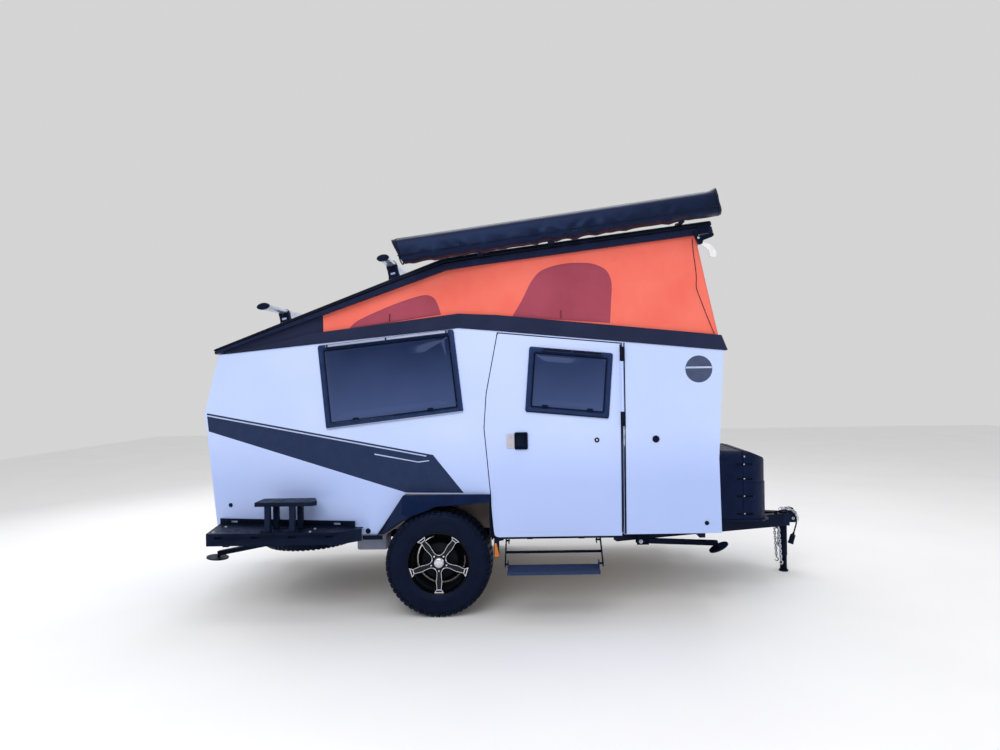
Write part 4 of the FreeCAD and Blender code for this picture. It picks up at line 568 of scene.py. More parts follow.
def make_finishes(colours):
    """Every finish of the trailer, named for what it is."""
    made = [
        gloss_composite("white_gloss_composite", colours.walls, "#B4C7FA"),
        gloss_composite("white_roof_sheet", "#DCE2EE", "#C9D0DE"),
        moulded("slate_vinyl_film", colours.stripe, "#2A3653", 0.38, 3.0, 0.03, 0.3),
        moulded("silver_vinyl_film", "#B9C6E6", "#A2AFCF", 0.3, 3.0, 0.02, 0.4),
        moulded("grey_vinyl_disc", "#454D66", "#515A74", 0.35, 3.0, 0.02, 0.3),
        smoked_acrylic("smoked_acrylic"),
        moulded("black_window_frame", "#1C294A", "#253459", 0.34, 2.0, 0.08, 0.35),
        powder_coat("powder_coated_steel", colours.steel, "#080E1E"),
        powder_coat("powder_coated_arch", "#0A1530", "#101D40", 0.36),
        anodised("black_anodised_aluminium", "#0C1122", "#171E36", 0.4),
        moulded("slate_edge_extrusion", "#171C33", "#20263F", 0.42, 3.0, 0.05),
        anodised("clear_anodised_aluminium", "#C9CEDA", "#A9B0C0", 0.3),
        anodised("satin_window_bar", "#A7AFC4", "#8C95AC", 0.42),
        moulded("black_moulded_nylon", "#070B18", "#10162A", 0.45),
        moulded("black_seal_rubber", "#0A0D18", "#13182A", 0.7),
        moulded("beige_moulded_panel", "#C2BDC6", "#B2ACB5", 0.55, 4.0, 0.2),
        moulded("textured_tank_cover", "#070E24", "#101B38", 0.46, 5.0, 0.35, 0.3),
        moulded("grey_water_tank", "#8C93A6", "#7B8296", 0.5, 4.0, 0.2),
        woven("orange_polyester_canvas", colours.canvas, "#FB6E5C", 3.0, 0.25, 0.8, 0.35, 210, 7.0),
        woven("maroon_window_screen", colours.screen, "#9E4454", 4.0, 0.3, 0.7, 0.2),
        woven("slate_nylon_skirt", "#23273E", "#2C314B", 3.0, 0.2, 0.6, 0.22, 160, 3.5),
        woven("black_coated_vinyl", colours.awning, "#0B1532", 2.5, 0.12, 0.4, 0.12, 140, 8.0, 0.55),
        woven("black_webbing", "#0F1424", "#1B2033", 2.0, 0.2, 0.7, 0.1),
        moulded("tyre_rubber", "#03050E", "#090E20", 0.5, 3.0, 0.3, 0.34),
        alloy("black_painted_alloy", "#04050C", "#090C18", 0.26, 0.1, 0.25),
        alloy("machined_alloy", "#D6D9E2", "#B8BCC8", 0.22),
        alloy("cast_alloy_barrel", "#06070C", "#0D1018", 0.5, 0.2, 0.25),
        alloy("cast_iron_drum", "#0B0D15", "#141824", 0.62, 0.3, 0.2),
        alloy("bright_zinc", "#C6CAD3", "#9FA4B0", 0.34, 0.95),
        lens("amber_lens", "#F08A1E", "#E0720C"),
        lens("red_lens", "#B01822", "#8E0F18"),
        lens("clear_lens", "#D9DEE8", "#C2C9D8"),
        lined_arch("coated_arch_steel_and_painted_shade"),
        plywood("sealed_plywood", "#A58C70", "#8C7459"),
        gritted("gritted_tread", "#2A3A5E", "#1B2848"),
        alloy("white_painted_lever", "#E8E8EA", "#D2D4DA", 0.35, 0.0),
    ]
    FINISHES.update((m.name, m) for m in made)


# Operators

class TRAILER_OT_stage(Operator):
    """Pale floor, soft studio light and the camera."""
    bl_idname = "trailer.stage"
    bl_label = "Stage"

    def execute(self, context):
        colours = context.scene.trailer_colours
        scene = context.scene
        bm = bmesh.new()
        corners = ((-14, -9), (12, -9), (12, 15), (-14, 15))
        slab(bm, [Vector((x, y, -0.02)) for x, y in corners], Vector((0, 0, 0.02)))
        mesh = bpy.data.meshes.new("studio_floor")
        bm.to_mesh(mesh)
        bm.free()
        floor = bpy.data.objects.new("studio_floor", mesh)
        scene.collection.objects.link(floor)
        made, tree, shader, place = finish("painted_studio_floor", Roughness=0.75)
        blotch(tree, shader, place, "#F3F3F4", "#EDEDEF", 900, 0.5)
        mesh.materials.append(made)
        world = bpy.data.worlds.new("studio")
        world.use_nodes = True
        sky = world.node_tree.nodes["Background"]
        sky.inputs["Color"].default_value = colours.surround[:] + (1.0,)
        sky.inputs["Strength"].default_value = colours.surround_strength
        scene.world = world
        lamps = (("key_light", (-3.5, -6.5, 5.5), 5.0, 210), ("front_light", (5.5, -4.5, 4.0), 4.0, 80),
                 ("top_light", (-2.0, 1.0, 6.5), 5.0, 190), ("rear_light", (-7.5, 2.5, 3.5), 3.0, 60))
        for name, spot, size, power in lamps:
            data = bpy.data.lights.new(name, "AREA")
            data.size = size
            data.energy = power
            lamp = bpy.data.objects.new(name, data)
            lamp.location = spot
            aim = Vector((-2.3, 0.0, 1.0)) - Vector(spot)
            lamp.rotation_euler = aim.to_track_quat("-Z", "Y").to_euler()
            scene.collection.objects.link(lamp)
        camera = bpy.data.objects.new("camera", bpy.data.cameras.new("camera"))
        camera.location = (-2.011, -5.380, 1.611)
        camera.rotation_euler = (math.pi / 2, math.radians(0.8), 0.0)
        camera.data.sensor_width = 36.0
        camera.data.lens = 23.29
        camera.data.shift_x = -0.039
        camera.data.shift_y = 0.005
        scene.collection.objects.link(camera)
        scene.camera = camera
        scene.view_settings.view_transform = "Standard"
        return {"FINISHED"}


LEGS = ("leg_front_right", "leg_front_left", "leg_rear_right", "leg_rear_left")
CARRIED = {
    "white_gloss_composite": ("wall_right_rear", "wall_right_front", "wall_left", "wall_rear", "wall_front",
                              "door", "door_hinge"),
    "sealed_plywood": ("floor",),
    "smoked_acrylic": ("side_windows", "door_window"),
    "coated_arch_steel_and_painted_shade": ("wheel_arch_right", "wheel_arch_left"),
    "black_moulded_nylon": ("door_latch", "wiring_cord", "wiring_plug"),
    "powder_coated_steel": ("jack_leg", "chassis", "tongue", "suspension", "rear_tray", "tray_stand",
                            "step_arms", "awning_brackets", "jack_housing", "coupler", "roof_latches") + LEGS,
    "bright_zinc": ("safety_chains",),
    "grey_water_tank": ("water_tank",),
    "textured_tank_cover": ("gas_cover",),
    "tyre_rubber": ("tyre_right", "tyre_left", "spare_tyre"),
    "black_painted_alloy": ("rim_right", "rim_left", "spare_rim"),
    "cast_alloy_barrel": ("hub_right", "hub_left"),
    "gritted_tread": ("step_tread",),
    "black_anodised_aluminium": ("roof_rim", "crossbars"),
    "white_roof_sheet": ("roof_panel",),
    "black_coated_vinyl": ("awning_bag",),
    "orange_polyester_canvas": ("tent",),
    "slate_nylon_skirt": ("tent_skirt",),
}
# rounding of the edges, in millimetres
EDGES = {
    0.8: ("door_hinge",),
    1.2: ("rear_tray",),
    1.5: ("step_arms", "awning_brackets") + LEGS,
    1.6: ("safety_chains",),
    2.0: ("jack_leg", "jack_housing", "water_tank"),
    2.5: ("coupler",),
    3.0: ("chassis", "tray_stand", "roof_rim", "roof_panel", "gas_cover", "suspension"),
    4.0: ("wall_right_rear", "wall_right_front", "wall_left", "wall_rear", "tongue", "crossbars"),
    5.0: ("door",),
    6.0: ("wall_front",),
}


class TRAILER_OT_carried_pieces(Operator):
    """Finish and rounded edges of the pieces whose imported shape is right."""
    bl_idname = "trailer.carried_pieces"
    bl_label = "Carried Pieces"

    def execute(self, context):
        for name, nodes in CARRIED.items():
            for node in nodes:
                materials = NODES[node].data.materials
                materials.clear()
                materials.append(FINISHES[name])
        for width, nodes in EDGES.items():
            for node in nodes:
                round_edges(NODES[node], width / 1000, 3)
        return {"FINISHED"}


# Wheels

# hub height and tyre radius, and how far the axle's ends stand from the middle
TYRE_RADIUS = 366
AXLE, HALF_TRACK = -565, 868
SPARE = (-1765, 0, 415)
WHEEL_METALS = ["black_painted_alloy", "cast_alloy_barrel", "machined_alloy"]
BLACK, BARREL, BRIGHT = 0, 1, 2


def turned(centre, out, down):
    """Maps lengths along the axle and a radius at an angle from straight down to points of the frame."""
    across = out.cross(down)

    def spot(along, radius, angle):
        way = down * math.cos(angle) + across * math.sin(angle)
        return centre + out * along / 1000 + way * radius / 1000
    return spot


def tyre(bm, spot, blocks):
    """All-terrain tyre: casing with raised rings on the walls and five rows of blocks."""
    walls = [(-99, 209), (-108, 224), (-113.5, 246), (-115, 250), (-115, 256), (-113.8, 262), (-114.5, 292),
             (-113, 312), (-111, 318), (-111, 322), (-108.5, 326), (-104, 342), (-97, 354), (-88, 357)]
    profile = walls + [(-45, 358.6), (0, 359), (45, 358.6)] + [(-a, r) for a, r in reversed(walls)]
    profile += [(94, 207), (-94, 207)]
    steps = 72
    rings = []
    for along, r in profile:
        rings.append([bm.verts.new(spot(along, r, 2 * math.pi * i / steps)) for i in range(steps)])
    for one, two in zip(rings, rings[1:] + rings[:1]):
        for i in range(steps):
            j = (i + 1) % steps
            face = bm.faces.new((one[i], one[j], two[j], two[i]))
            face.smooth = True
    rows = [(-16, 16, 0.08, 0.80, 0.22), (-56, -22, 0.35, 1.08, -0.28), (22, 56, 0.58, 1.31, -0.28),
            (-105, -61, 0.12, 0.84, 0.1), (61, 105, 0.40, 1.12, 0.1)]
    pitch = 2 * math.pi / blocks
    for number in range(blocks):
        for a0, a1, t0, t1, skew in rows:
            wide = 0.06 if number % 3 == 0 else 0.0
            turn = ((number + t0) * pitch, (number + t1 - wide) * pitch)
            ring_block(bm, spot, (a0, a1), turn, skew * pitch)
        for sign in (-1, 1):
            t0 = number + (0.12 if sign < 0 else 0.40)
            low = 330 if number % 2 else 339
            side_lug(bm, spot, sign, (t0 * pitch, (t0 + 0.70) * pitch), low)


def ring_block(bm, spot, across, turn, skew):
    """One tread block with drafted sides."""
    top, base = [], []
    middle_a, middle_t = sum(across) / 2, sum(turn) / 2
    for a, t in ((across[0], turn[0]), (across[1], turn[0] + skew), (across[1], turn[1] + skew),
                 (across[0], turn[1])):
        crown = 7.2 * (abs(a) / 105) ** 2.2
        inner_a = a + (middle_a - a) * 0.08
        inner_t = t + (middle_t + skew / 2 - t) * 0.08
        top.append(bm.verts.new(spot(inner_a, TYRE_RADIUS - crown, inner_t)))
        base.append(bm.verts.new(spot(a, TYRE_RADIUS - 9 - crown * 0.55, t)))
    bm.faces.new(top)
    for i in range(4):
        j = (i + 1) % 4
        bm.faces.new((top[j], top[i], base[i], base[j]))


def side_lug(bm, spot, sign, turn, low):
    """The part of a shoulder block that runs down the tyre's wall."""
    loops = []
    for along, r in ((103, 357), (109.5, 350), (112.5, low + 4), (110.5, low)):
        row = []
        for t in (turn[0], turn[0] + 0.012, turn[1] - 0.012, turn[1]):
            sunk = 4.5 if t in (turn[0], turn[1]) else 0.0
            row.append(bm.verts.new(spot(sign * (along - sunk), r - sunk * 0.3, t)))
        loops.append(row)
    for one, two in zip(loops, loops[1:]):
        for i in range(3):
            bm.faces.new((one[i], one[i + 1], two[i + 1], two[i]))


SPOKE_EDGE = [(50, 23.5), (58, 18.8), (68, 16.2), (80, 15.4), (100, 17.2), (120, 20.0), (134, 20.8),
              (152, 18.8), (170, 16.6), (182, 17.2), (190, 24.0), (203, 33.0)]
VALLEY = 53.0


def inset_line(points, by):
    """The same line moved towards its spoke's middle."""
    moved = []
    for i, point in enumerate(points):
        a = points[max(i - 1, 0)]
        b = points[min(i + 1, len(points) - 1)]
        dx, dy = b[0] - a[0], b[1] - a[1]
        length = math.hypot(dx, dy)
        moved.append((point[0] + dy / length * by, point[1] - dx / length * by))
    return moved


def star(bm, spot):
    """Five waisted spokes with machined outlines and flared feet at the rim."""
    def face_at(r):
        return 71 + 13 * (r / 203) ** 2

    def put(point, proud, turn):
        r = math.hypot(*point)
        return bm.verts.new(spot(face_at(r) + proud, r, turn + math.atan2(point[1], point[0])))

    valley = (VALLEY * math.cos(math.radians(36)), VALLEY * math.sin(math.radians(36)))
    sunk_valley = ((VALLEY - 6) * math.cos(math.radians(36)), (VALLEY - 6) * math.sin(math.radians(36)))
    edge = [valley] + SPOKE_EDGE
    inner = [sunk_valley] + inset_line(SPOKE_EDGE, 2.9)
    inner[-1] = (197.5, 25.0)
    inner[-2] = (189.5, 18.5)
    rear = [(x, y * 0.9) for x, y in edge]
    for k in range(5):
        turn = 2 * math.pi * k / 5
        for side in (-1, 1):
            rows = []
            for out_p, in_p, back_p in zip(edge, inner, rear):
                out_q, in_q, back_q = ((p[0], p[1] * side) for p in (out_p, in_p, back_p))
                rows.append((put(in_q, -1.2, turn), put(in_q, 0.8, turn), put(out_q, 0.8, turn),
                             put(back_q, -24, turn)))
            for one, two in zip(rows, rows[1:]):
                for i, slot in ((0, BRIGHT), (1, BRIGHT), (2, BLACK)):
                    face = bm.faces.new((one[i], one[i + 1], two[i + 1], two[i]))
                    face.material_index = slot
                    face.smooth = i == 2
        for i in range(len(inner) - 1):
            loop = [put((inner[i][0], s * inner[i][1]), -1.2, turn) for s in (-1, 1)]
            loop += [put((inner[i + 1][0], s * inner[i + 1][1]), -1.2, turn) for s in (1, -1)]
            bm.faces.new(loop).material_index = BLACK
        for r0, w0, r1, w1 in ((197.5, 25.0, 203, 33.0), (180.5, 13.0, 185.5, 15.5)):
            loop = [put((r0, -w0), 0.8, turn), put((r0, w0), 0.8, turn), put((r1, w1), 0.8, turn),
                    put((r1, -w1), 0.8, turn)]
            bm.faces.new(loop).material_index = BRIGHT
        end = [put((203, -33), 0.8, turn), put((203, 33), 0.8, turn), put((203, 29.7), -24, turn),
               put((203, -29.7), -24, turn)]
        bm.faces.new(end).material_index = BLACK
    middle = bm.verts.new(spot(70, 0, 0))
    corners = [put(sunk_valley, -1.2, 2 * math.pi * k / 5) for k in range(5)]
    for k in range(5):
        bm.faces.new((corners[k - 1], corners[k], middle)).material_index = BLACK


def rim(bm, spot, out, centre):
    """Alloy rim: lips, stepped barrel, spokes, cap and nuts."""
    profile = [(99, 213), (103, 212), (104, 209), (100, 207), (92, 206), (78, 205), (60, 197),
               (52, 192, BARREL), (46, 186, BARREL), (20, 183, BARREL), (12, 174, BARREL), (-40, 170, BARREL),
               (-56, 176, BARREL), (-80, 190, BARREL), (-94, 198, BARREL),
               (-103, 212), (-99, 213), (-92, 207), (92, 207)]
    lathe(bm, in_metres(profile), centre, out, BLACK, 72, closed=True)
    star(bm, spot)
    cap = [(68, 41, BLACK), (75.5, 41, BLACK), (76.5, 36), (84, 34), (88, 28), (89.8, 16), (90, 0)]
    lathe(bm, in_metres(cap), centre, out, BRIGHT, 32)
    nut = [(0, 11.5, BLACK), (7, 11.5, BLACK), (7, 7.8), (15, 7.2), (17.5, 4.5), (17.5, 0)]
    for k in range(5):
        lathe(bm, in_metres(nut), spot(66, 55, 2 * math.pi * k / 5), out, BRIGHT, 6, smooth=False)
    stem = [(0, 6), (22, 6), (24, 5), (32, 5), (34, 0)]
    lathe(bm, in_metres(stem), spot(62, 186, math.radians(36 + 72)), out, BLACK, 10)


class TRAILER_OT_wheels(Operator):
    """Tyres with tread, rims with spokes and the brake drums behind them."""
    bl_idname = "trailer.wheels"
    bl_label = "Wheels"

    def execute(self, context):
        blocks = context.scene.trailer_sizes.tread_blocks
        drum = [(-52, 0), (-52, 160), (-48, 163), (-44, 160), (-40, 136), (-34, 136), (-28, 129), (14, 127),
                (20, 121), (22, 70), (30, 60), (64, 58), (65, 30), (65, 0)]
        for side, sign in (("right", -1), ("left", 1)):
            centre, out = st(AXLE, sign * HALF_TRACK, TYRE_RADIUS), Vector((0, sign, 0))
            spot = turned(centre, out, Vector((0, 0, -1)))
            body = "wheel_" + side
            bm = bmesh.new()
            tyre(bm, spot, blocks)
            piece("tyre_tread_" + side, bm, body, ["tyre_rubber"], replaces=["tyre_" + side])
            bm = bmesh.new()
            rim(bm, spot, out, centre)
            piece("alloy_wheel_" + side, bm, body, WHEEL_METALS, replaces=["rim_" + side])
            bm = bmesh.new()
            lathe(bm, in_metres(drum), centre, out, 0, 48)
            piece("brake_drum_" + side, bm, body, ["cast_iron_drum"], replaces=["hub_" + side])
        centre, out = st(*SPARE), Vector((0, 0, -1))
        spot = turned(centre, out, Vector((1, 0, 0)))
        bm = bmesh.new()
        tyre(bm, spot, blocks)
        piece("spare_tread", bm, "trailer", ["tyre_rubber"], replaces=["spare_tyre"])
        bm = bmesh.new()
        rim(bm, spot, out, centre)
        carrier = [(-134, 0), (-134, 20), (-90, 20), (60, 20), (60, 45), (66, 45), (66, 0)]
        lathe(bm, in_metres(carrier), centre, out, 0, 24)
        piece("spare_alloy_wheel", bm, "trailer", WHEEL_METALS, replaces=["spare_rim"])
        return {"FINISHED"}


# Cabin

def flat_on(surface, quad, side, margin):
    """A plane through the wall round an opening: a map from station and height to the wall."""
    cx = sum(p[0] for p in quad) / 4
    cz = sum(p[1] for p in quad) / 4
    hits = []
    for x, z in quad[:3]:
        away = Vector((x - cx, z - cz)).normalized() * margin
        hits.append(against(surface, st(x + away.x, 0, z + away.y), side)[0])
    normal = (hits[1] - hits[0]).cross(hits[2] - hits[0]).normalized()
    if normal.y * side < 0:
        normal = -normal

    def put(x, z, proud=0.0):
        point = st(x, 0, z)
        reach = (hits[0] - point).dot(normal) / normal.y
        return Vector((point.x, reach, point.z)) + normal * proud / 1000
    return put, normal


def loop_of(quad, inset, radius, steps=6):
    """A four cornered outline in station and height, moved inward and rounded."""
    count = len(quad)
    moved = []
    for i in range(count):
        a, b, c = (Vector(quad[(i + k) % count]) for k in (-1, 0, 1))
        one, two = (b - a).normalized(), (c - b).normalized()
        centre = sum((Vector(p) for p in quad), Vector((0, 0))) / count
        n1, n2 = Vector((-one.y, one.x)), Vector((-two.y, two.x))
        if n1.dot(centre - b) < 0:
            n1 = -n1
        if n2.dot(centre - b) < 0:
            n2 = -n2
        moved.append(b + (n1 + n2) * inset / (1 + n1.dot(n2)))
    return [(p.x, p.y) for p in rounded(moved, radius, steps)]


def band(bm, loops, slot=0, smooth=True):
    """Skin between outlines that have the same number of points."""
    for one, two in zip(loops, loops[1:]):
        count = len(one)
        for i in range(count):
            j = (i + 1) % count
            face = bm.faces.new((one[i], one[j], two[j], two[i]))
            face.material_index = slot
            face.smooth = smooth


def raised(bm, put, quad, levels):
    """Outlines of a four cornered shape, one for each inset, height off the wall and corner radius."""
    return [[bm.verts.new(put(x, z, proud)) for x, z in loop_of(quad, inset, radius)]
            for inset, proud, radius in levels]


def plate_on(bm, put, corners, near, far, slot):
    """A flat plate on the wall between two heights off it."""
    slab(bm, [put(p.x, p.y, near) for p in corners], put(0, 0, far) - put(0, 0, near), slot)


PANE_SHARES = (1.0, 0.985, 0.965, 0.94, 0.9, 0.84, 0.74, 0.58, 0.36)


def pane(bm, put, quad, bulge):
    """Blown sheet: flat at its edge, evenly domed over the middle."""
    base = loop_of(quad, 31, 12)
    middle = sum((Vector(p) for p in base), Vector((0, 0))) / len(base)
    loops = []
    for share in PANE_SHARES:
        proud = 6 + bulge * (1 - share ** 9)
        spots = [middle + (Vector(p) - middle) * share for p in base]
        loops.append([bm.verts.new(put(spot.x, spot.y, proud)) for spot in spots])
    band(bm, loops, 1)
    hub = bm.verts.new(put(middle.x, middle.y, 6 + bulge))
    last = loops[-1]
    for i in range(len(last)):
        face = bm.faces.new((last[i], last[(i + 1) % len(last)], hub))
        face.material_index = 1
        face.smooth = True


def window(bm, put, quad, bulge, bar, bright):
    """Framed opening window: broad frame, blown pane, hinge bar along the top, foot and catches."""
    frame_levels = ((-13, 0.6, 20), (-13, 8, 20), (-10, 11, 18), (2, 12.5, 15), (17, 10.5, 13), (20, 6, 12),
                    (23, 5, 12), (23, 2, 12))
    band(bm, raised(bm, put, quad, frame_levels), 0, smooth=False)
    lip_levels = ((25, 4, 12), (25, 8, 12), (27, 9.5, 12), (30, 9, 12), (32, 6, 12))
    band(bm, raised(bm, put, quad, lip_levels), 3, smooth=False)
    pane(bm, put, quad, bulge)
    rear_top, fore_top, fore_low, rear_low = (Vector(p) for p in quad)
    run = (fore_top - rear_top).normalized()
    fall = Vector((run.y, -run.x))
    a, b = rear_top + run * bar[0], fore_top - run * bar[1]
    for top, low, far, slot in ((-9, 6, 19, bright), (6, 12, 16, 0), (12, 19, 14, 3)):
        plate_on(bm, put, (a + fall * top, b + fall * top, b + fall * low, a + fall * low), 9, far, slot)
    for share in (0.012, 0.5, 0.988):
        middle = a + (b - a) * share
        corners = [middle + run * dx + fall * dz for dx, dz in ((-6, -10), (6, -10), (6, 8), (-6, 8))]
        plate_on(bm, put, corners, 9, 21, 0)
    way = (fore_low - rear_low).normalized()
    down = Vector((way.y, -way.x))
    c, d = rear_low - way * 8, fore_low + way * 8
    plate_on(bm, put, (c + down * 5, d + down * 5, d + down * 12.5, c + down * 12.5), 6, 12, bright)
    for share in (0.22, 0.78):
        middle = rear_low + (fore_low - rear_low) * share - down * 33
        corners = [middle + way * dx - down * dz for dx, dz in ((-22, -8), (22, -8), (18, 12), (-18, 12))]
        plate_on(bm, put, corners, 8, 16, 3)


REAR_WINDOW = [(-1409, 1863), (-456, 1953), (-393, 1411), (-1346, 1298)]
DOOR_WINDOW = [(88, 1826), (631, 1774), (598, 1356), (55, 1408)]
WINDOW_FINISHES = ["black_window_frame", "smoked_acrylic", "satin_window_bar", "black_moulded_nylon",
                   "black_anodised_aluminium"]


class TRAILER_OT_windows(Operator):
    """Four blown acrylic windows in black frames."""
    bl_idname = "trailer.windows"
    bl_label = "Windows"

    def execute(self, context):
        sizes = context.scene.trailer_sizes
        jobs = (("rear_right", "wall_right_rear", True, -1, "trailer", ["side_windows"]),
                ("rear_left", "wall_left", True, 1, "trailer", []),
                ("door", "door", False, -1, "door", ["door_window"]),
                ("front_left", "wall_left", False, 1, "trailer", []))
        for name, wall, large, side, body, nodes in jobs:
            quad = REAR_WINDOW if large else DOOR_WINDOW
            rise = sizes.window_rise if large else sizes.small_window_rise
            put, _ = flat_on(skin(wall), quad, side, 26)
            bm = bmesh.new()
            window(bm, put, quad, rise * 1000, (50, 26) if large else (70, 58), 2 if large else 4)
            piece("window_" + name, bm, body, WINDOW_FINISHES, replaces=nodes)
        return {"FINISHED"}


def film(name, surface, outline, cuts, side, proud, finish_name):
    """A thin sheet stuck on the wall: an outline in station and height, bent over the wall's creases."""
    bm = bmesh.new()
    bm.faces.new([bm.verts.new(st(x, 0, z)) for x, z in outline])
    for (x0, z0), (x1, z1) in cuts:
        line = (st(x1, 0, z1) - st(x0, 0, z0)).normalized()
        bmesh.ops.bisect_plane(bm, geom=bm.verts[:] + bm.edges[:] + bm.faces[:], plane_co=st(x0, 0, z0),
                               plane_no=line.cross(Vector((0, 1, 0))))
    bmesh.ops.triangulate(bm, faces=bm.faces[:])
    bmesh.ops.subdivide_edges(bm, edges=bm.edges[:], cuts=2, use_grid_fill=True)
    for vert in bm.verts:
        vert.co, _ = against(surface, vert.co, side, proud / 1000)
    rim_edges = [e for e in bm.edges if e.is_boundary]
    made = bmesh.ops.extrude_edge_only(bm, edges=rim_edges)["geom"]
    for vert in (g for g in made if isinstance(g, bmesh.types.BMVert)):
        vert.co.y -= side * 0.0005
    return piece(name, bm, "trailer", [finish_name])


REAR_CREASES = (((-2280, 1413), (-588, 1114)), ((-588, 1114), (-232, 1160)), ((-588, 1114), (-205, 838)),
                ((-588, 1114), (-797, 838)), ((-2280, 1413), (-797, 838)), ((-2280, 1413), (-1005, 550)))
STRIPE = [(-2266, 1404), (-594, 1108), (-386, 846), (-790, 846), (-2255, 1272)]


def cap_on(bm, surface, x, z, side, profile):
    """A small turned fitting that stands on the wall."""
    foot, normal = against(surface, st(x, 0, z), side, 0.0002)
    lathe(bm, in_metres(profile), foot, normal, 0, 24)


class TRAILER_OT_cabin_trim(Operator):
    """Graphics, plugs and the lock of the cabin."""
    bl_idname = "trailer.cabin_trim"
    bl_label = "Cabin Trim"

    def execute(self, context):
        right, left = skin("wall_right_rear"), skin("wall_left")
        front, door = skin("wall_right_front"), skin("door")
        line = [(-2268, 1392), (-640, 1104), (-642, 1096), (-2267, 1382)]
        branch = [(-1010, 1116), (-700, 1062), (-620, 1072), (-624, 1065), (-698, 1055), (-1012, 1108)]
        disc = [(x + 1228, z + 1671) for x, z in round_section(92, 40)]
        disc_band = [(1142, 1688), (1314, 1688), (1318, 1676), (1138, 1676)]
        for side, surface, fore, name in ((-1, right, front, "right"), (1, left, left, "left")):
            film("stripe_" + name, surface, STRIPE, REAR_CREASES, side, 0.7, "slate_vinyl_film")
            film("stripe_line_" + name, surface, line, REAR_CREASES, side, 1.3, "silver_vinyl_film")
            film("stripe_branch_" + name, surface, branch, REAR_CREASES, side, 1.3, "silver_vinyl_film")
            film("disc_" + name, fore, disc, (), side, 0.7, "grey_vinyl_disc")
            film("disc_band_" + name, fore, disc_band, (), side, 1.3, "silver_vinyl_film")
        plug = [(0, 15), (3, 15), (4.5, 13), (4.5, 9), (3, 7.5), (3.2, 0)]
        bm = bmesh.new()
        large = [(a * 1.1, r * 1.25) for a, r in plug]
        for side, surface, fore in ((-1, right, front), (1, left, left)):
            cap_on(bm, surface, -2101, 738, side, plug)
            cap_on(bm, surface, -1070, 572, side, large)
            cap_on(bm, fore, 1271, 620, side, plug)
        port = [(0, 24), (4, 24), (6, 22), (7, 17), (12, 15.5), (14, 12), (14, 6), (11, 5), (11, 0)]
        cap_on(bm, front, 928, 1199, -1, port)
        piece("wall_plugs", bm, "trailer", ["black_moulded_nylon"])
        bm = bmesh.new()
        lock = [(0, 17, 0), (3, 17, 0), (5, 14, 0), (5, 7, 1), (6.5, 6, 1), (7, 4, 1), (7, 0, 1)]
        cap_on(bm, door, 527, 1198, -1, lock)
        piece("door_lock", bm, "door", ["black_moulded_nylon", "bright_zinc"])
        return {"FINISHED"}


class TRAILER_OT_door_fittings(Operator):
    """Latch plate with its bezel, paddle and bolts."""
    bl_idname = "trailer.door_fittings"
    bl_label = "Door Fittings"

    def execute(self, context):
        bm = bmesh.new()
        put, normal = flat_on(skin("door"), [(-80, 1240), (50, 1240), (50, 1165), (-80, 1165)], -1, 5)
        plate = [(-86, 1248), (-33, 1248), (-33, 1150), (-86, 1150)]
        bezel = [(-33, 1258), (57, 1258), (57, 1141), (-33, 1141)]
        paddle = [(-20, 1236), (38, 1236), (30, 1164), (-20, 1164)]
        dished = ((0, 0.4, 12), (0, 12, 12), (4, 16, 10), (12, 17, 8), (15, 12, 8))
        for quad, levels, slot in ((plate, ((0, 0.4, 6), (0, 5, 6), (2, 6.5, 5)), 0), (bezel, dished, 1),
                                   (paddle, ((0, 11, 8), (0, 19, 8), (3, 21, 7)), 1)):
            loops = raised(bm, put, quad, levels)
            band(bm, loops, slot, smooth=False)
            bm.faces.new(loops[-1]).material_index = slot
        bolt = in_metres([(6, 5.5), (8.5, 5), (9.2, 3), (8.2, 0)])
        for z in (1229, 1169):
            lathe(bm, bolt, put(-60, z, 0), normal, 2, 14)
        piece("door_latch_set", bm, "door", ["beige_moulded_panel", "black_moulded_nylon", "bright_zinc"],
              replaces=["door_latch"])
        return {"FINISHED"}


class TRAILER_OT_wheel_arches(Operator):
    """Pressed steel flares over the wheels, with the dark lip of the wells below them."""
    bl_idname = "trailer.wheel_arches"
    bl_label = "Wheel Arches"

    def execute(self, context):
        out = -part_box("wheel_arch_right")[0].y
        plate = [(-797, 840), (-210, 840), (-206, 787), (-330, 779), (-458, 771), (-552, 762), (-640, 743),
                 (-735, 700), (-760, 694), (-806, 712)]
        levels = ((0, -12), (0, 0.8), (2.0, 1.8))
        for name, side, wall in (("right", -1, "wall_right_rear"), ("left", 1, "wall_left")):
            foot = abs(against(skin(wall), st(-1040, 0, 575), side)[0].y) + 0.005
            bm = bmesh.new()
            loops = []
            for inset, proud in levels:
                y = side * (out * 1000 + proud)
                loops.append([bm.verts.new(st(x, y, z)) for x, z in loop_of(plate, inset, 3, 2)])
            band(bm, loops, 0, smooth=False)
            bm.faces.new(loops[-1])
            slope = [(-795, out, 839), (-742, out, 704), (-935, foot, 551), (-1001, foot, 551)]
            row = [st(x, side * (y * 1000 + 1), z) for x, y, z in slope]
            slab(bm, row, Vector((0, side * -0.012, 0)), 0)
            piece("flare_" + name, bm, "trailer", ["powder_coated_arch"])
        return {"FINISHED"}


# Roof

RIM_LOW = (8, 8)
RIM_HIGH = (92, 45)


LEFT_WALL = skin("wall_left")
HALF_WIDTHS = {}


def half_at(x):
    """Half width of the cabin at its upper edge, measured once for each tenth of a millimetre."""
    key = round(x, 1)
    if key not in HALF_WIDTHS:
        inside = min(max(x, TOP_REAR[0] + 6), TOP_FRONT[0] - 6)
        HALF_WIDTHS[key] = against(LEFT_WALL, st(inside, 0, wall_top(inside) - 7), 1)[0].y * 1000
    return HALF_WIDTHS[key]


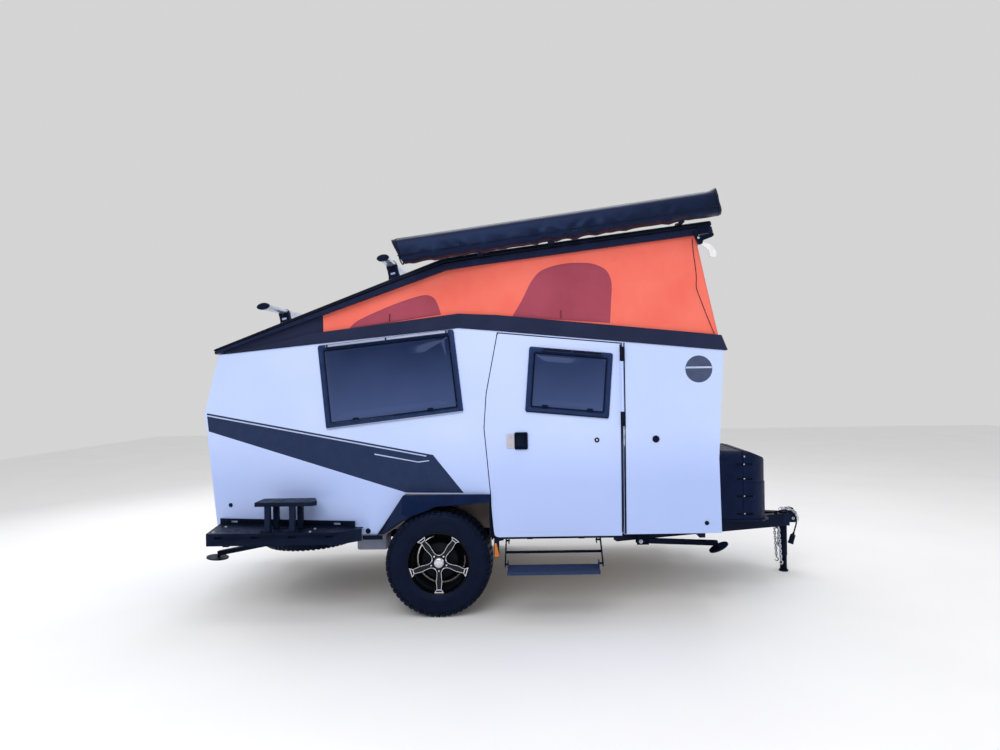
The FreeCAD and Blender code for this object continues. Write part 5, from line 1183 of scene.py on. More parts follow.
def rim_path():
    """Plan of the roof's edge, closed: station and half width, right side then left."""
    rear = half_at(-2175) + 18
    middle = rear + (994 - rear) * (PEAK[0] + 2201) / (2201 - 225)
    right = [(-2201, -rear), (PEAK[0], -middle), (-225, -994), (1422, -994)]
    plan = right + [(x, -y) for x, y in reversed(right)]
    corners = [Vector((x, y, 0)) for x, y in plan]
    return [(p.x, p.y) for p in rounded(corners, 16, 3)]


def rim_ring(bm, plan, profile, slot):
    """A profile of outward lengths and shares of the edge's height, carried round the roof."""
    loops = []
    count = len(plan)
    for i, (x, y) in enumerate(plan):
        a, b = Vector(plan[i - 1]), Vector(plan[(i + 1) % count])
        point = Vector((x, y))
        one, two = (point - a).normalized(), (b - point).normalized()
        n1, n2 = Vector((one.y, -one.x)), Vector((two.y, -two.x))
        way = (n1 + n2) / (1 + n1.dot(n2))
        loop = []
        for across, share in profile:
            spot = point + way * across
            low, high = roof_line(spot.x, *RIM_LOW), roof_line(spot.x, *RIM_HIGH)
            loop.append(bm.verts.new(lift(spot.x, spot.y, low + share * (high - low))))
        loops.append(loop)
    for i in range(count):
        one, two = loops[i], loops[(i + 1) % count]
        for k in range(len(profile)):
            m = (k + 1) % len(profile)
            bm.faces.new((one[k], one[m], two[m], two[k])).material_index = slot


BAR_HALF = 984


def cross_bar(bm, x, z, foot_y):
    """Load bar: slotted oval tube, end caps and two clamp feet."""
    oval = [(-36, -2), (-30, 9), (-16, 15), (-5, 16.5), (-4, 13), (4, 13), (5, 16.5), (16, 15), (30, 8),
            (36, -3), (28, -12), (0, -15), (-28, -11)]
    loops = [[bm.verts.new(lift(x + a, y, z + b)) for a, b in oval] for y in (-BAR_HALF, BAR_HALF)]
    band(bm, loops, 0, smooth=False)
    for sign in (-1, 1):
        cap_loops = []
        for out, scale in ((-16, 1.10), (6, 1.10), (12, 1.0), (16, 0.7)):
            y = sign * (BAR_HALF + out)
            cap_loops.append([bm.verts.new(lift(x + 38 * a * scale, y, z + 20 * b * scale))
                              for a, b in round_section(1, 20)])
        band(bm, cap_loops, 1)
        bm.faces.new(cap_loops[-1]).material_index = 1
        bm.faces.new(cap_loops[0]).material_index = 1
        loops = []
        for share, long, wide in ((0.0, 56, 28), (0.12, 56, 28), (0.18, 49, 25), (0.5, 39, 23), (0.8, 38, 23),
                                  (0.95, 40, 23), (1.15, 36, 22), (1.28, 26, 18)):
            loop = []
            for dx, dy in rounded_plan(long, wide, 14):
                base = roof_line(x + dx, 86, 39) + 0.5
                loop.append(bm.verts.new(lift(x + dx, sign * foot_y + dy, base + share * (z - 12 - base))))
            loops.append(loop)
        band(bm, loops, 1)
        bm.faces.new(loops[-1]).material_index = 1
        mark = []
        for dx, dz in loop_of([(-17, 8), (17, 8), (17, -6), (-17, -6)], 0, 6, 4):
            base = roof_line(x, 86, 39)
            mark.append(lift(x + dx, sign * (foot_y + 27), base + 0.55 * (z - 12 - base) + dz))
        slab(bm, mark, Vector((0, sign * 0.003, 0)), 2)


def rounded_plan(long, wide, radius):
    """A rounded rectangle about its middle."""
    corners = [Vector((a * long, b * wide, 0)) for a, b in ((-1, -1), (1, -1), (1, 1), (-1, 1))]
    return [(p.x, p.y) for p in rounded(corners, radius, 4)]


def latch_lever(bm, side):
    """Curved pull handle of a corner latch, broadest near its end."""
    lever = [(1232, 2538, 10), (1246, 2524, 12), (1266, 2511, 15), (1292, 2500, 19), (1312, 2484, 22),
             (1322, 2464, 24), (1326, 2446, 25), (1328, 2432, 24), (1326, 2424, 17)]
    section = ((-1, 1006), (-0.9, 1013), (0.9, 1013), (1, 1006), (0.9, 1000), (-0.9, 1000))
    loops = []
    for i, (x, z, wide) in enumerate(lever):
        a, b = lever[max(i - 1, 0)], lever[min(i + 1, len(lever) - 1)]
        run = Vector((b[0] - a[0], b[1] - a[1])).normalized()
        loops.append([bm.verts.new(st(x - run.y * wide * share, side * y, z + run.x * wide * share))
                      for share, y in section])
    band(bm, loops, 1)
    bm.faces.new(loops[0]).material_index = 1
    bm.faces.new(loops[-1]).material_index = 1


class TRAILER_OT_roof(Operator):
    """Edge profile with its bead and groove, load bars and the corner latches."""
    bl_idname = "trailer.roof"
    bl_label = "Roof"

    def execute(self, context):
        plan = rim_path()
        bm = bmesh.new()
        lower = [(-28, 0), (-5, 0), (-2, 0.03), (-2, 0.50), (-9, 0.54), (-28, 0.54)]
        upper = [(-28, 0.53), (-9, 0.53), (-9, 0.60), (-2, 0.63), (0, 0.70), (0, 0.86), (-3, 0.95),
                 (-10, 1.0), (-22, 1.0), (-28, 0.95)]
        rim_ring(bm, plan, lower, 1)
        rim_ring(bm, plan, upper, 0)
        piece("roof_edge", bm, "roof", ["black_anodised_aluminium", "slate_edge_extrusion"], bevel=0.0015,
              replaces=["roof_rim"])
        bm = bmesh.new()
        cross_bar(bm, -1672, 2030, 620)
        cross_bar(bm, -804, 2160, 720)
        metals = ["clear_anodised_aluminium", "black_moulded_nylon", "silver_vinyl_film"]
        piece("load_bars", bm, "roof", metals, replaces=["crossbars"])
        bm = bmesh.new()
        # the plate is measured on the closed roof, the hook and its lever on the raised one
        plate = [(1316, 1822), (1396, 1816), (1396, 1856), (1386, 1864), (1326, 1868), (1316, 1862)]
        hook = [(1196, 2604), (1222, 2604), (1230, 2566), (1320, 2592), (1332, 2586), (1333, 2572),
                (1324, 2564), (1262, 2541), (1255, 2514), (1236, 2512), (1212, 2546)]
        pin = in_metres([(0, 9), (24, 9), (26, 6), (26, 0)])
        for side in (-1, 1):
            slab(bm, [lift(x, side * 994.6, z) for x, z in plate], Vector((0, side * 0.003, 0)), 0)
            slab(bm, [st(x, side * 995, z) for x, z in hook], Vector((0, side * 0.019, 0)), 0)
            latch_lever(bm, side)
            lathe(bm, pin, st(1228, side * 992, 2556), Vector((0, side, 0)), 2, 16)
        piece("corner_latches", bm, "roof", ["powder_coated_steel", "white_painted_lever", "bright_zinc"],
              bevel=0.0015, replaces=["roof_latches"])
        return {"FINISHED"}


BAG = [(-62, -62), (-72, 0), (-60, 60), (-10, 84), (54, 70), (66, 10), (50, -62), (-5, -82)]


def bag_point(turn):
    """Outline of the awning bag across the trailer: a smooth closed line through its corners."""
    count = len(BAG)
    place = turn * count
    i = int(place) % count
    t = place - int(place)
    p = [Vector(BAG[(i + k) % count]) for k in (-1, 0, 1, 2)]
    return spline(p, t)


# the bag's rear end, length, place across, height at its rear end and fall to its front end, roof closed
BAG_REAR, BAG_LONG, BAG_ACROSS, BAG_HIGH, BAG_FALL = -677, 2132, -1074, 2150, 178
BAG_STEPS = 36


def bag_share(x):
    """How far along the bag a station lies."""
    return (x - BAG_REAR) / BAG_LONG


def bag_line(x, turn, scale):
    """A point on the bag's outline at a station, a little inside or outside its skin."""
    share = bag_share(x)
    dy, dz = bag_point(turn)
    grow = 1.05 - 0.05 * share
    return lift(x, BAG_ACROSS + dy * scale, BAG_HIGH - BAG_FALL * share + dz * scale * grow)


def bag_ring(bm, x, folds):
    """One loop round the bag: sagging folds low on its outer side, pulled in and slanted at its ends."""
    share = bag_share(x)
    grow = 1.05 - 0.05 * share
    end = max(0.0, 1 - min(x - BAG_REAR, BAG_REAR + BAG_LONG - x) / 70)
    pinch = 1 - 0.06 * end
    loop = []
    for k in range(BAG_STEPS):
        dy, dz = bag_point(k / BAG_STEPS)
        low = max(0.0, min(1.0, (30 - dz) / 60))
        outer = 1.0 if dy < 20 else 0.3
        wave = 0.0
        for centre, wide, lean, deep in folds:
            away = (x - centre - lean * dz * 2.0) / wide
            wave += deep * math.exp(-away * away * 6) * math.sin(away * 5)
        sag = low * outer * wave + 2.2 * math.sin(x / 47 + dz / 30) * low
        push = Vector((dy, dz)).normalized() * sag
        ear = end * end * (18 if dz > 60 and share > 0.5 else 0)
        slant = -0.28 * dz * end if share < 0.5 else 0.10 * abs(dz) * end
        high = BAG_HIGH - BAG_FALL * share + dz * grow + push.y + ear
        loop.append(bm.verts.new(lift(x + slant, BAG_ACROSS + (dy + push.x) * pinch, high)))
    return loop


class TRAILER_OT_awning(Operator):
    """Rolled awning in its soft vinyl bag, with sagging folds, piping and sewn ends."""
    bl_idname = "trailer.awning"
    bl_label = "Awning"

    def execute(self, context):
        chance = random.Random(7)
        deepest = context.scene.trailer_sizes.awning_sag * 1000
        folds = [(chance.uniform(-620, 1400), chance.uniform(60, 170), chance.uniform(-0.9, 0.9),
                  chance.uniform(2.0, deepest)) for _ in range(26)]
        bm = bmesh.new()
        stations = [BAG_REAR + BAG_LONG * k / 96 for k in range(97)]
        loops = [bag_ring(bm, x, folds) for x in stations]
        band(bm, loops, 0)
        for loop, step in ((loops[0], -1), (loops[-1], 1)):
            inner = loop
            centre = sum((v.co for v in loop), Vector()) / len(loop)
            for scale, out in ((0.9, 4), (0.55, 7), (0.2, 8)):
                away = Vector((step * out / 1000, 0, 0))
                ring = [bm.verts.new(centre + (v.co - centre) * scale + away) for v in loop]
                band(bm, [inner, ring], 0)
                inner = ring
            bm.faces.new(inner).smooth = True
        bag = piece("awning_cover", bm, "roof", ["black_coated_vinyl"], replaces=["awning_bag"])
        bm = bmesh.new()
        for turn in (0.4, 0.06):
            line = [bag_line(x, turn, 1.02) for x in stations[::3]]
            sweep(bm, line, round_section(0.0035, 8), 0, smooth=True)
        for x in (-668, 1446):
            ring = [bag_line(x, k / BAG_STEPS, 0.97) for k in range(BAG_STEPS)]
            sweep(bm, ring, round_section(0.0045, 8), 0, closed=True, smooth=True)
        piece("awning_piping", bm, "roof", ["black_webbing"])
        return {"FINISHED"}


# Fabric

CEILING = (43.4, 8.4)


def ceiling():
    """The raised roof's underside as a line of station and height."""
    line = []
    for x in (-2180, -1400, -800, PEAK[0], -225, 1332):
        point = lift(x, 0, roof_line(x, *CEILING))
        line.append((point.x * 1000 + 2150, point.z * 1000))
    return line


def height_on(line, x):
    """Height on a bent line at a station."""
    for a, b in zip(line, line[1:]):
        if x <= b[0]:
            return on_line(a, b, x)
    return on_line(line[-2], line[-1], x)


# stations of the fabric's front corners at the wall and at the roof
FRONT_LOW, FRONT_TOP = 1392, 1212
# folds drawn from the upper front corner: the way they run and their depth in millimetres
PULLS = [(0.16, 8.0), (0.432, 5.5), (0.736, 4.2), (1.008, 3.0), (1.312, 4.0)]


def cloth_at(x, z, roof):
    """Half width of the stretched fabric: hollow between wall and roof, folds drawn from the front corner."""
    low = wall_top(x) + 1.0
    high = height_on(roof, x)
    share = max(0.0, min(1.0, (z - low) / max(high - low, 1.0)))
    tall = min(1.0, (high - low) / 700)
    hollow = 15 * math.sin(math.pi * share) * tall
    corner = Vector((FRONT_TOP - x, 2577 - z))
    reach = corner.length
    angle = math.atan2(corner.y, corner.x)
    drawn = 0.0
    for way, deep in PULLS:
        drawn += deep * math.exp(-((angle - way) / 0.06) ** 2) * math.exp(-reach / 520)
    loose = 1.6 * math.sin(x / 61 + z / 130) * math.sin(math.pi * share) * math.sin(x / 23 + 1.3)
    hem = 2.4 * math.sin(x / 34) * max(0.0, 1 - share * 5) * min(1.0, tall * 3)
    return half_at(x) - 14 - hollow - drawn * 0.9 * math.sin(math.pi * share) - loose - hem


def cloth_grid(bm, roof, xs, side, rows):
    """One side of the fabric between stations, as rows from the wall to the roof."""
    loops = []
    for x in xs:
        loop = []
        for k in range(rows + 1):
            share = k / rows
            station = x
            if x > 700:
                station = x + (FRONT_TOP - FRONT_LOW) * share * (x - 700) / (FRONT_LOW - 700)
            low, high = wall_top(station) + 1.0, height_on(roof, station)
            z = low + share * (high - low)
            loop.append(bm.verts.new(st(station, side * cloth_at(station, z, roof), z)))
        loops.append(loop)
    for one, two in zip(loops, loops[1:]):
        for k in range(rows):
            bm.faces.new((one[k], two[k], two[k + 1], one[k + 1])).smooth = True
    return loops


def cloth_patch(bm, roof, outline, side):
    """A sewn-in panel: an outline in station and height that lies just outside the fabric."""
    middle = sum((Vector(p) for p in outline), Vector((0, 0))) / len(outline)

    def put(spot, out):
        return bm.verts.new(st(spot.x, side * (cloth_at(spot.x, spot.y, roof) + out), spot.y))

    loops = []
    for share in (1.0, 0.985, 0.8, 0.55, 0.28):
        out = 2.0 if share < 1.0 else 0.8
        loops.append([put(middle + (Vector(p) - middle) * share, out) for p in outline])
    band(bm, loops)
    hub = put(middle, 2.0)
    last = loops[-1]
    for i in range(len(last)):
        bm.faces.new((last[i], last[(i + 1) % len(last)], hub)).smooth = True


def area_of(obj):
    """Area of a piece in square metres."""
    return sum(p.area for p in obj.data.polygons)


def stretched(obj, wide, long, with_pieces=()):
    """Works out a stretched sheet's area and flat width, and keeps neither."""
    area = area_of(obj)
    wide = max(wide, area / long * 1.02)
    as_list(with_pieces)


def steep(a, b):
    """The way square to a sloping line of the wall top."""
    run = (st(b[0], 0, b[1]) - st(a[0], 0, a[1])).normalized()
    return Vector((-run.z, 0, run.x))


BIG_WINDOW = [(-40, 2045), (28, 2157), (88, 2274), (148, 2348), (231, 2385), (325, 2405), (420, 2410),
              (514, 2402), (596, 2368), (635, 2313), (646, 2243), (639, 2125), (631, 1995)]
SMALL_WINDOW = [(-1203, 1988), (-1138, 2044), (-996, 2106), (-855, 2158), (-713, 2200), (-630, 2211),
                (-572, 2177), (-533, 2075)]
CORNER_SEAM = [(1203, 2560), (1212, 2460), (1224, 2378), (1231, 2303), (1231, 2228), (1256, 2154),
               (1277, 2094), (1310, 2004), (1346, 1912)]
# the gusset ends and the orange canvas begins at this station
GUSSET_END = -1388
FRONT_STEPS, CLOTH_ROWS = 36, 18


def between(start, end, steps):
    """Even places from a start to an end."""
    return [start + (end - start) * k / steps for k in range(steps + 1)]


def stretch_across(bm, one, two, steps, shape):
    """Fabric from one side's edge to the other's, each row of points moved along the body by a shape."""
    rows = []
    count = len(one)
    for k in range(count):
        row = [one[k]]
        for i in range(1, steps):
            t = i / steps
            point = one[k].co.lerp(two[k].co, t)
            point.x += shape(t, k)
            row.append(bm.verts.new(point))
        rows.append(row + [two[k]])
    for near, far in zip(rows, rows[1:]):
        for i in range(steps):
            bm.faces.new((near[i], near[i + 1], far[i + 1], far[i])).smooth = True


def front_bow(t, k):
    """The front wall of the tent: bowed inward, with a slow ripple that is strongest at its foot."""
    sink = 0.022 * math.sin(math.pi * t) * math.sin(math.pi * k / CLOTH_ROWS)
    ripple = 0.0022 * math.sin(t * 47) * (1 - k / CLOTH_ROWS) + 0.0015 * math.sin(t * 23 + k * 0.8)
    return -sink - ripple


def skirt_bow(t, k):
    """The front of the skirt: it stands a little off the wall between its corners."""
    return 0.008 * min(1.0, 8 * min(t, 1 - t)) + 0.0012 * math.sin(t * 61)


def front_window(bm, roof):
    """The wide screen in the front wall of the tent, a rectangle with soft corners."""
    outline = []
    for across, rise in round_section(1, 48):
        across = math.copysign(abs(across) ** 0.45, across) * 560
        outline.append((across, math.copysign(abs(rise) ** 0.6, rise)))
    low = wall_top(FRONT_LOW) + 1
    loops = []
    for scale in (1.0, 0.98, 0.7, 0.35):
        loop = []
        for y, rise in outline:
            share = 0.5 + 0.36 * rise * scale
            across = 0.5 + y * scale / 1916
            bow = 22 * math.sin(math.pi * across) * math.sin(math.pi * share)
            x = FRONT_LOW + (FRONT_TOP - FRONT_LOW) * share - bow + (1.0 if scale == 1.0 else 3.5)
            loop.append(bm.verts.new(st(x, y * scale, low + share * (height_on(roof, FRONT_TOP) - low))))
        loops.append(loop)
    band(bm, loops)
    bm.faces.new(loops[-1]).smooth = True


class TRAILER_OT_tent(Operator):
    """Canvas walls under the raised roof, with windows, seams and the skirt along the wall top."""
    bl_idname = "trailer.tent"
    bl_label = "Tent"

    def execute(self, context):
        roof = ceiling()
        orange, maroon, slate, web = (["orange_polyester_canvas"], ["maroon_window_screen"],
                                      ["slate_nylon_skirt"], ["black_webbing"])
        rear_axis, front_axis = steep(TOP_REAR, PEAK), steep(PEAK, TOP_FRONT)
        anchor = st(PEAK[0], 0, PEAK[1])

        def flatten(obj, axis):
            tuple(axis)
            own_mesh(obj)

        sides = []
        for name, side in (("right", -1), ("left", 1)):
            bm = bmesh.new()
            cloth_grid(bm, roof, between(-2150, GUSSET_END, 24), side, 6)
            gusset = piece("tent_gusset_" + name, bm, "trailer", slate)
            bm = bmesh.new()
            cloth_grid(bm, roof, between(GUSSET_END, PEAK[0], 48), side, 12)
            rear = piece("tent_rear_" + name, bm, "trailer", orange)
            bm = bmesh.new()
            cloth_patch(bm, roof, hem_line(SMALL_WINDOW), side)
            screen = piece("tent_window_rear_" + name, bm, "trailer", maroon)
            bm = bmesh.new()
            toggle(bm, roof, -900, 2062, side)
            tie = piece("tent_toggle_" + name, bm, "trailer", web)
            sides.append((rear, gusset, [screen, tie]))
        bm = bmesh.new()
        stations = between(PEAK[0], FRONT_LOW, 72)
        right, left = (cloth_grid(bm, roof, stations, side, CLOTH_ROWS)[-1] for side in (-1, 1))
        stretch_across(bm, right, left, FRONT_STEPS, front_bow)
        front = piece("tent_front", bm, "trailer", orange)
        bm = bmesh.new()
        for side in (-1, 1):
            cloth_patch(bm, roof, hem_line(BIG_WINDOW), side)
        screens = piece("tent_window_sides", bm, "trailer", maroon)
        bm = bmesh.new()
        front_window(bm, roof)
        front_screen = piece("tent_window_front", bm, "trailer", maroon)
        bm = bmesh.new()
        for side in (-1, 1):
            toggle(bm, roof, 295, 2058, side)
            seam = [st(x - 4, side * (cloth_at(min(x, 1340), z, roof) + 2), z) for x, z in CORNER_SEAM]
            sweep(bm, curve_through(seam, 6), flat_section(0.0024, 0.001))
        seams = piece("tent_seams", bm, "trailer", web)
        parts = [screens, front_screen, seams]
        stretched(front, 0.8, 5.4, parts)
        for obj in [front] + parts:
            flatten(obj, front_axis)
        for rear, gusset, fitted in sides:
            stretched(rear, 0.40, 1.0, fitted)
            stretched(gusset, 0.16, 0.8)
            for obj in [rear, gusset] + fitted:
                flatten(obj, rear_axis)
        hems = []
        for name, side in (("right", -1), ("left", 1)):
            bm = bmesh.new()
            skirt_side(bm, side, between(-2120, PEAK[0], 60))
            hems.append(piece("skirt_rear_" + name, bm, "trailer", slate))
        bm = bmesh.new()
        right, left = (skirt_side(bm, side, between(PEAK[0], 1400, 60))[-1] for side in (-1, 1))
        stretch_across(bm, right, left, 40, skirt_bow)
        fore = piece("skirt_front", bm, "trailer", slate)
        stretched(fore, 0.13, 5.6)
        flatten(fore, front_axis)
        for hem in hems:
            stretched(hem, 0.11, 1.72)
            flatten(hem, rear_axis)
        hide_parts("tent")
        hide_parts("tent_skirt")
        return {"FINISHED"}


def hem_line(points):
    """Window outline: smooth along the arch, straight along its foot."""
    upper = []
    for i in range(len(points) - 1):
        p = [Vector(points[max(0, min(len(points) - 1, i + k))]) for k in (-1, 0, 1, 2)]
        for k in range(5):
            q = spline(p, k / 5)
            upper.append((q.x, q.y))
    upper.append(points[-1])
    foot, back = Vector(points[-1]), Vector(points[0])
    return upper + [tuple(foot.lerp(back, k / 10)) for k in range(1, 10)]


def curve_through(points, steps):
    """A smooth open line through points."""
    line = []
    for i in range(len(points) - 1):
        p = [points[max(0, min(len(points) - 1, i + k))] for k in (-1, 0, 1, 2)]
        for k in range(steps):
            line.append(spline(p, k / steps))
    return line + [points[-1]]


def toggle(bm, roof, x, z, side):
    """A short tie sewn over the window's foot."""
    y = side * (cloth_at(x, z, roof) + 4)
    line = [st(x + dx, y, z + dz) for dx, dz in ((0, 26), (1, 8), (-1, -12), (0, -30))]
    sweep(bm, line, flat_section(0.005, 0.0015))


SKIRT = [(-2120, 8), (-1900, 22), (-1780, 40), (-1450, 80), (PEAK[0], 100), (-142, 110), (1400, 104)]
# shares of the skirt's height with how far each stands off the wall: hem, slack band, rolled upper edge
SKIRT_SECTION = [(0.0, 7.5), (0.06, 8.5), (0.2, 8.0), (0.4, 6.0), (0.6, 4.0), (0.8, 1.5), (0.94, 0.0),
                 (1.0, -1.5), (0.99, -4.5), (0.93, -5.5)]


def skirt_side(bm, side, xs):
    """Skirt of one side, cut on the slant at the front, so that its hem stands ahead of its upper edge."""
    loops = []
    for x in xs:
        high = height_on(SKIRT, x)
        base = half_at(x)
        loop = []
        for share, out in SKIRT_SECTION:
            slack = 1.8 * math.sin(x / 29 + 2 * share) * math.sin(math.pi * share)
            slack += 1.2 * math.sin(x / 83) * share
            slant = max(0.0, (x - 1300) / 100) * (26 - 38 * share)
            z = wall_top(x) + 0.8 + share * (high - 0.8)
            loop.append(bm.verts.new(st(x + slant, side * (base + out + slack), z)))
        loops.append(loop)
    for one, two in zip(loops, loops[1:]):
        for k in range(len(one) - 1):
            bm.faces.new((one[k], two[k], two[k + 1], one[k + 1])).smooth = True
    return loops


# Tongue

CORD_ROUTE = [(2088, -46, 500), (2130, -48, 512), (2174, -52, 512), (2211, -58, 491), (2234, -64, 455),
              (2236, -70, 412), (2224, -72, 371), (2211, -72, 330)]


class TRAILER_OT_wiring(Operator):
    """Wiring cord out of its gland, over the nose of the tongue, with its round plug."""
    bl_idname = "trailer.wiring"
    bl_label = "Wiring"

    def execute(self, context):
        route = [st(*point) for point in CORD_ROUTE]
        data = bpy.data.curves.new("wiring_lead", "CURVE")
        data.dimensions = "3D"
        spline = data.splines.new("NURBS")
        spline.points.add(len(route) - 1)
        for point, at in zip(spline.points, route):
            point.co = at[:] + (1.0,)
        spline.order_u = 3
        spline.use_endpoint_u = True
        spline.resolution_u = 12
        data.bevel_depth = context.scene.trailer_sizes.lead_diameter / 2
        data.bevel_resolution = 6
        data.use_fill_caps = True
        data.materials.append(FINISHES["black_moulded_nylon"])
        lead = bpy.data.objects.new("wiring_lead", data)
        context.scene.collection.objects.link(lead)
        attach(lead, "trailer")
        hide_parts("wiring_cord")
        bm = bmesh.new()
        start, run = route[-1], (route[-1] - route[-2]).normalized()
        plug_profile = [(-4, 0), (-4, 6.5), (4, 8.5), (14, 11.5), (16, 18), (20, 20.5), (34, 21.2),
                        (36, 20), (62, 20), (64, 21.5), (78, 21.5), (80, 23.5), (92, 23.5), (92, 19.5),
                        (80, 19), (80, 0)]
        lathe(bm, in_metres(plug_profile), start, run, 0, 40)
        across, up = axes_of(run)
        for a, b in round_section(0.0202):
            middle = start + run * 0.049 + across * a + up * b
            rod(bm, middle - run * 0.011, middle + run * 0.011, 0.0016, 0, 8)
        for a, b in round_section(0.012, 6) + [(0, 0)]:
            pin = start + run * 0.0795 + across * a + up * b
            rod(bm, pin, pin + run * 0.009, 0.0022, 1, 10)
        key = [start + run * a + Vector((0, -0.0165, 0)) + across * b
               for a, b in ((0.030, -0.006), (0.088, -0.006), (0.088, 0.006), (0.030, 0.006))]
        slab(bm, key, Vector((0, -0.006, 0)), 0)
        plug = piece("wiring_connector", bm, "trailer", ["black_moulded_nylon", "bright_zinc"], bevel=0.0008,
                     replaces=["wiring_plug"])
        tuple(route[0][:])
        return {"FINISHED"}


# Door edges

# the door's rear edge and the wall's edge behind it, as heights and stations
DOOR_REAR = [(541, -148), (556, -145.7), (1288.8, -235.0), (1931.9, -136.4)]
WALL_FORE = [(541, -187), (575, -188), (611, -192), (693, -199), (773, -204), (838, -205), (1160, -232),
             (1290, -243), (1525, -225), (1948, -142)]


def across_at(line, z):
    """Station of a nearly upright line, given as height and station pairs, at a height."""
    for (z0, x0), (z1, x1) in zip(line, line[1:]):
        if z <= z1:
            return x0 + (x1 - x0) * (z - z0) / (z1 - z0)
    return line[-1][1]


def ribbon(bm, one, two, near, far, slot=0):
    """A strip between two lines of station and height, from a near to a far depth off a surface."""
    rows = []
    for (xa, za), (xb, zb) in zip(one, two):
        rows.append([bm.verts.new(near(xa, za)), bm.verts.new(near(xb, zb)), bm.verts.new(far(xb, zb)),
                     bm.verts.new(far(xa, za))])
    for a, b in zip(rows, rows[1:]):
        for k in range(4):
            m = (k + 1) % 4
            bm.faces.new((a[k], b[k], b[m], a[m])).material_index = slot
    bm.faces.new(rows[0]).material_index = slot
    bm.faces.new(rows[-1][::-1]).material_index = slot


def off_face(surface, inside, proud):
    """Points at a distance off a flat panel, also a little way past its edges."""
    def put(x, z):
        cx, cz = inside(x, z)
        hit, _ = against(surface, st(cx, 0, cz), -1)
        return Vector((st(x, 0, z).x, hit.y - proud / 1000, z / 1000))
    return put


def strip(bm, put, stations, heights, high, low, slot=0):
    """An upright strip between two stations, from a high to a low level off a panel."""
    rear, fore = ([(x, z) for z in heights] for x in stations)
    ribbon(bm, rear, fore, put(high), put(low), slot)


def on_door(x, z):
    """The nearest place inside the door's flat face."""
    inside = min(max(z, 560), 1840)
    return min(max(x, across_at(DOOR_REAR, inside) + 3), 697), inside


def on_fore(x, z):
    """The nearest place inside the wall ahead of the door."""
    return max(x, 710), min(max(z, 553), 1858)


def in_gap(depth):
    """Points in the gap behind the door, at a depth from the door's face, which leans in below the belt."""
    def put(x, z):
        return st(x, -964.2 - 0.0284 * (min(z, 1289) - 556) + depth, z)
    return put


class TRAILER_OT_door_edges(Operator):
    """Folded rear edge and hem of the door, its seals and the long hinge strip ahead of it."""
    bl_idname = "trailer.door_edges"
    bl_label = "Door Edges"

    def execute(self, context):
        door, fore = skin("door"), skin("wall_right_front")

        def at_door(proud):
            return off_face(door, on_door, proud)

        def at_fore(proud):
            return off_face(fore, on_fore, proud)

        heights = between(1925, 575, 40)
        outer = [(across_at(WALL_FORE, z) + 6, z) for z in heights]
        inner = [(across_at(DOOR_REAR, z) + 4, z) for z in heights]
        # round the lower rear corner and along the hem
        outer += [(-179, 560), (-172, 549), (-160, 543), (-146, 541), (100, 541), (400, 541), (692, 541)]
        inner += [(-142, 566), (-141, 562), (-140, 560), (-138, 559), (100, 559), (400, 559), (692, 559)]
        bm = bmesh.new()
        ribbon(bm, outer, inner, at_door(0.9), at_door(-9))
        piece("door_folded_edge", bm, "door", ["white_gloss_composite"], bevel=0.002)
        heights = [541, 556] + between(580, 1930, 24)
        one = [((-206 if z < 838 else across_at(WALL_FORE, z)) - 1, z) for z in heights]
        two = [(across_at(DOOR_REAR, z) - 2.5, z) for z in heights]
        bm = bmesh.new()
        ribbon(bm, one, two, in_gap(12), in_gap(30))
        low = (-184, 100, 400, 704)
        ribbon(bm, [(x, 538) for x in low], [(x, 527) for x in low], in_gap(2), in_gap(14))
        strip(bm, at_fore, (710, 723), (553, 700, 850, 1000, 1153, 1280), 2.0, 0.1)
        strip(bm, at_fore, (717, 725), (1280, 1400, 1600, 1760, 1857), 2.0, 0.1)
        piece("door_frame_seals", bm, "trailer", ["black_seal_rubber"], bevel=0.0008)
        bm = bmesh.new()
        strip(bm, at_door, (690, 699.5), (562, 700, 850, 1000, 1154, 1386), 2.0, 0.1)
        strip(bm, at_door, (690, 699.5), (1734, 1790, 1846), 2.0, 0.1)
        piece("door_front_seal", bm, "door", ["black_seal_rubber"], bevel=0.0008)
        bm = bmesh.new()
        for low_z, high_z in ((1290, 1389.4), (1730.6, 1830)):
            rod(bm, st(704, -994, low_z), st(704, -994, high_z), 0.0078, 0, 20)
            web = ((703, low_z), (719.5, low_z), (719.5, high_z), (703, high_z))
            slab(bm, [st(x, -995, z) for x, z in web], Vector((0, 0.012, 0)), 0)
        strip(bm, at_fore, (711, 715), (1153, 1288), 3.2, 1.0, 1)
        for z in (1165, 1231):
            strip(bm, at_fore, (709.5, 716.5), (z, z + 40), 4.2, 1.0, 1)
        piece("hinge_covers", bm, "trailer", ["black_anodised_aluminium", "clear_anodised_aluminium"],
              bevel=0.0006)
        bm = bmesh.new()
        screw = in_metres([(0, 6.2), (1.6, 5.4), (2.2, 3), (1.2, 0)])
        for number in range(6):
            foot, normal = against(door, st(680, 0, 1412 + 60 * number), -1, 0.0026)
            lathe(bm, screw, foot, normal, 0, 14)
        piece("hinge_screws", bm, "door", ["white_gloss_composite"])
        return {"FINISHED"}


# Lamps

REAR_OUT = Vector((-0.9952, 0.0, -0.0979))


def rear_spot(side, y, rise, proud):
    """A place on the lamps' plane at the rear: how far out, how far up the lamp and how far off the wall."""
    return st(-2237.8 - 0.0985 * rise, side * y, 646 + rise) + REAR_OUT * proud / 1000


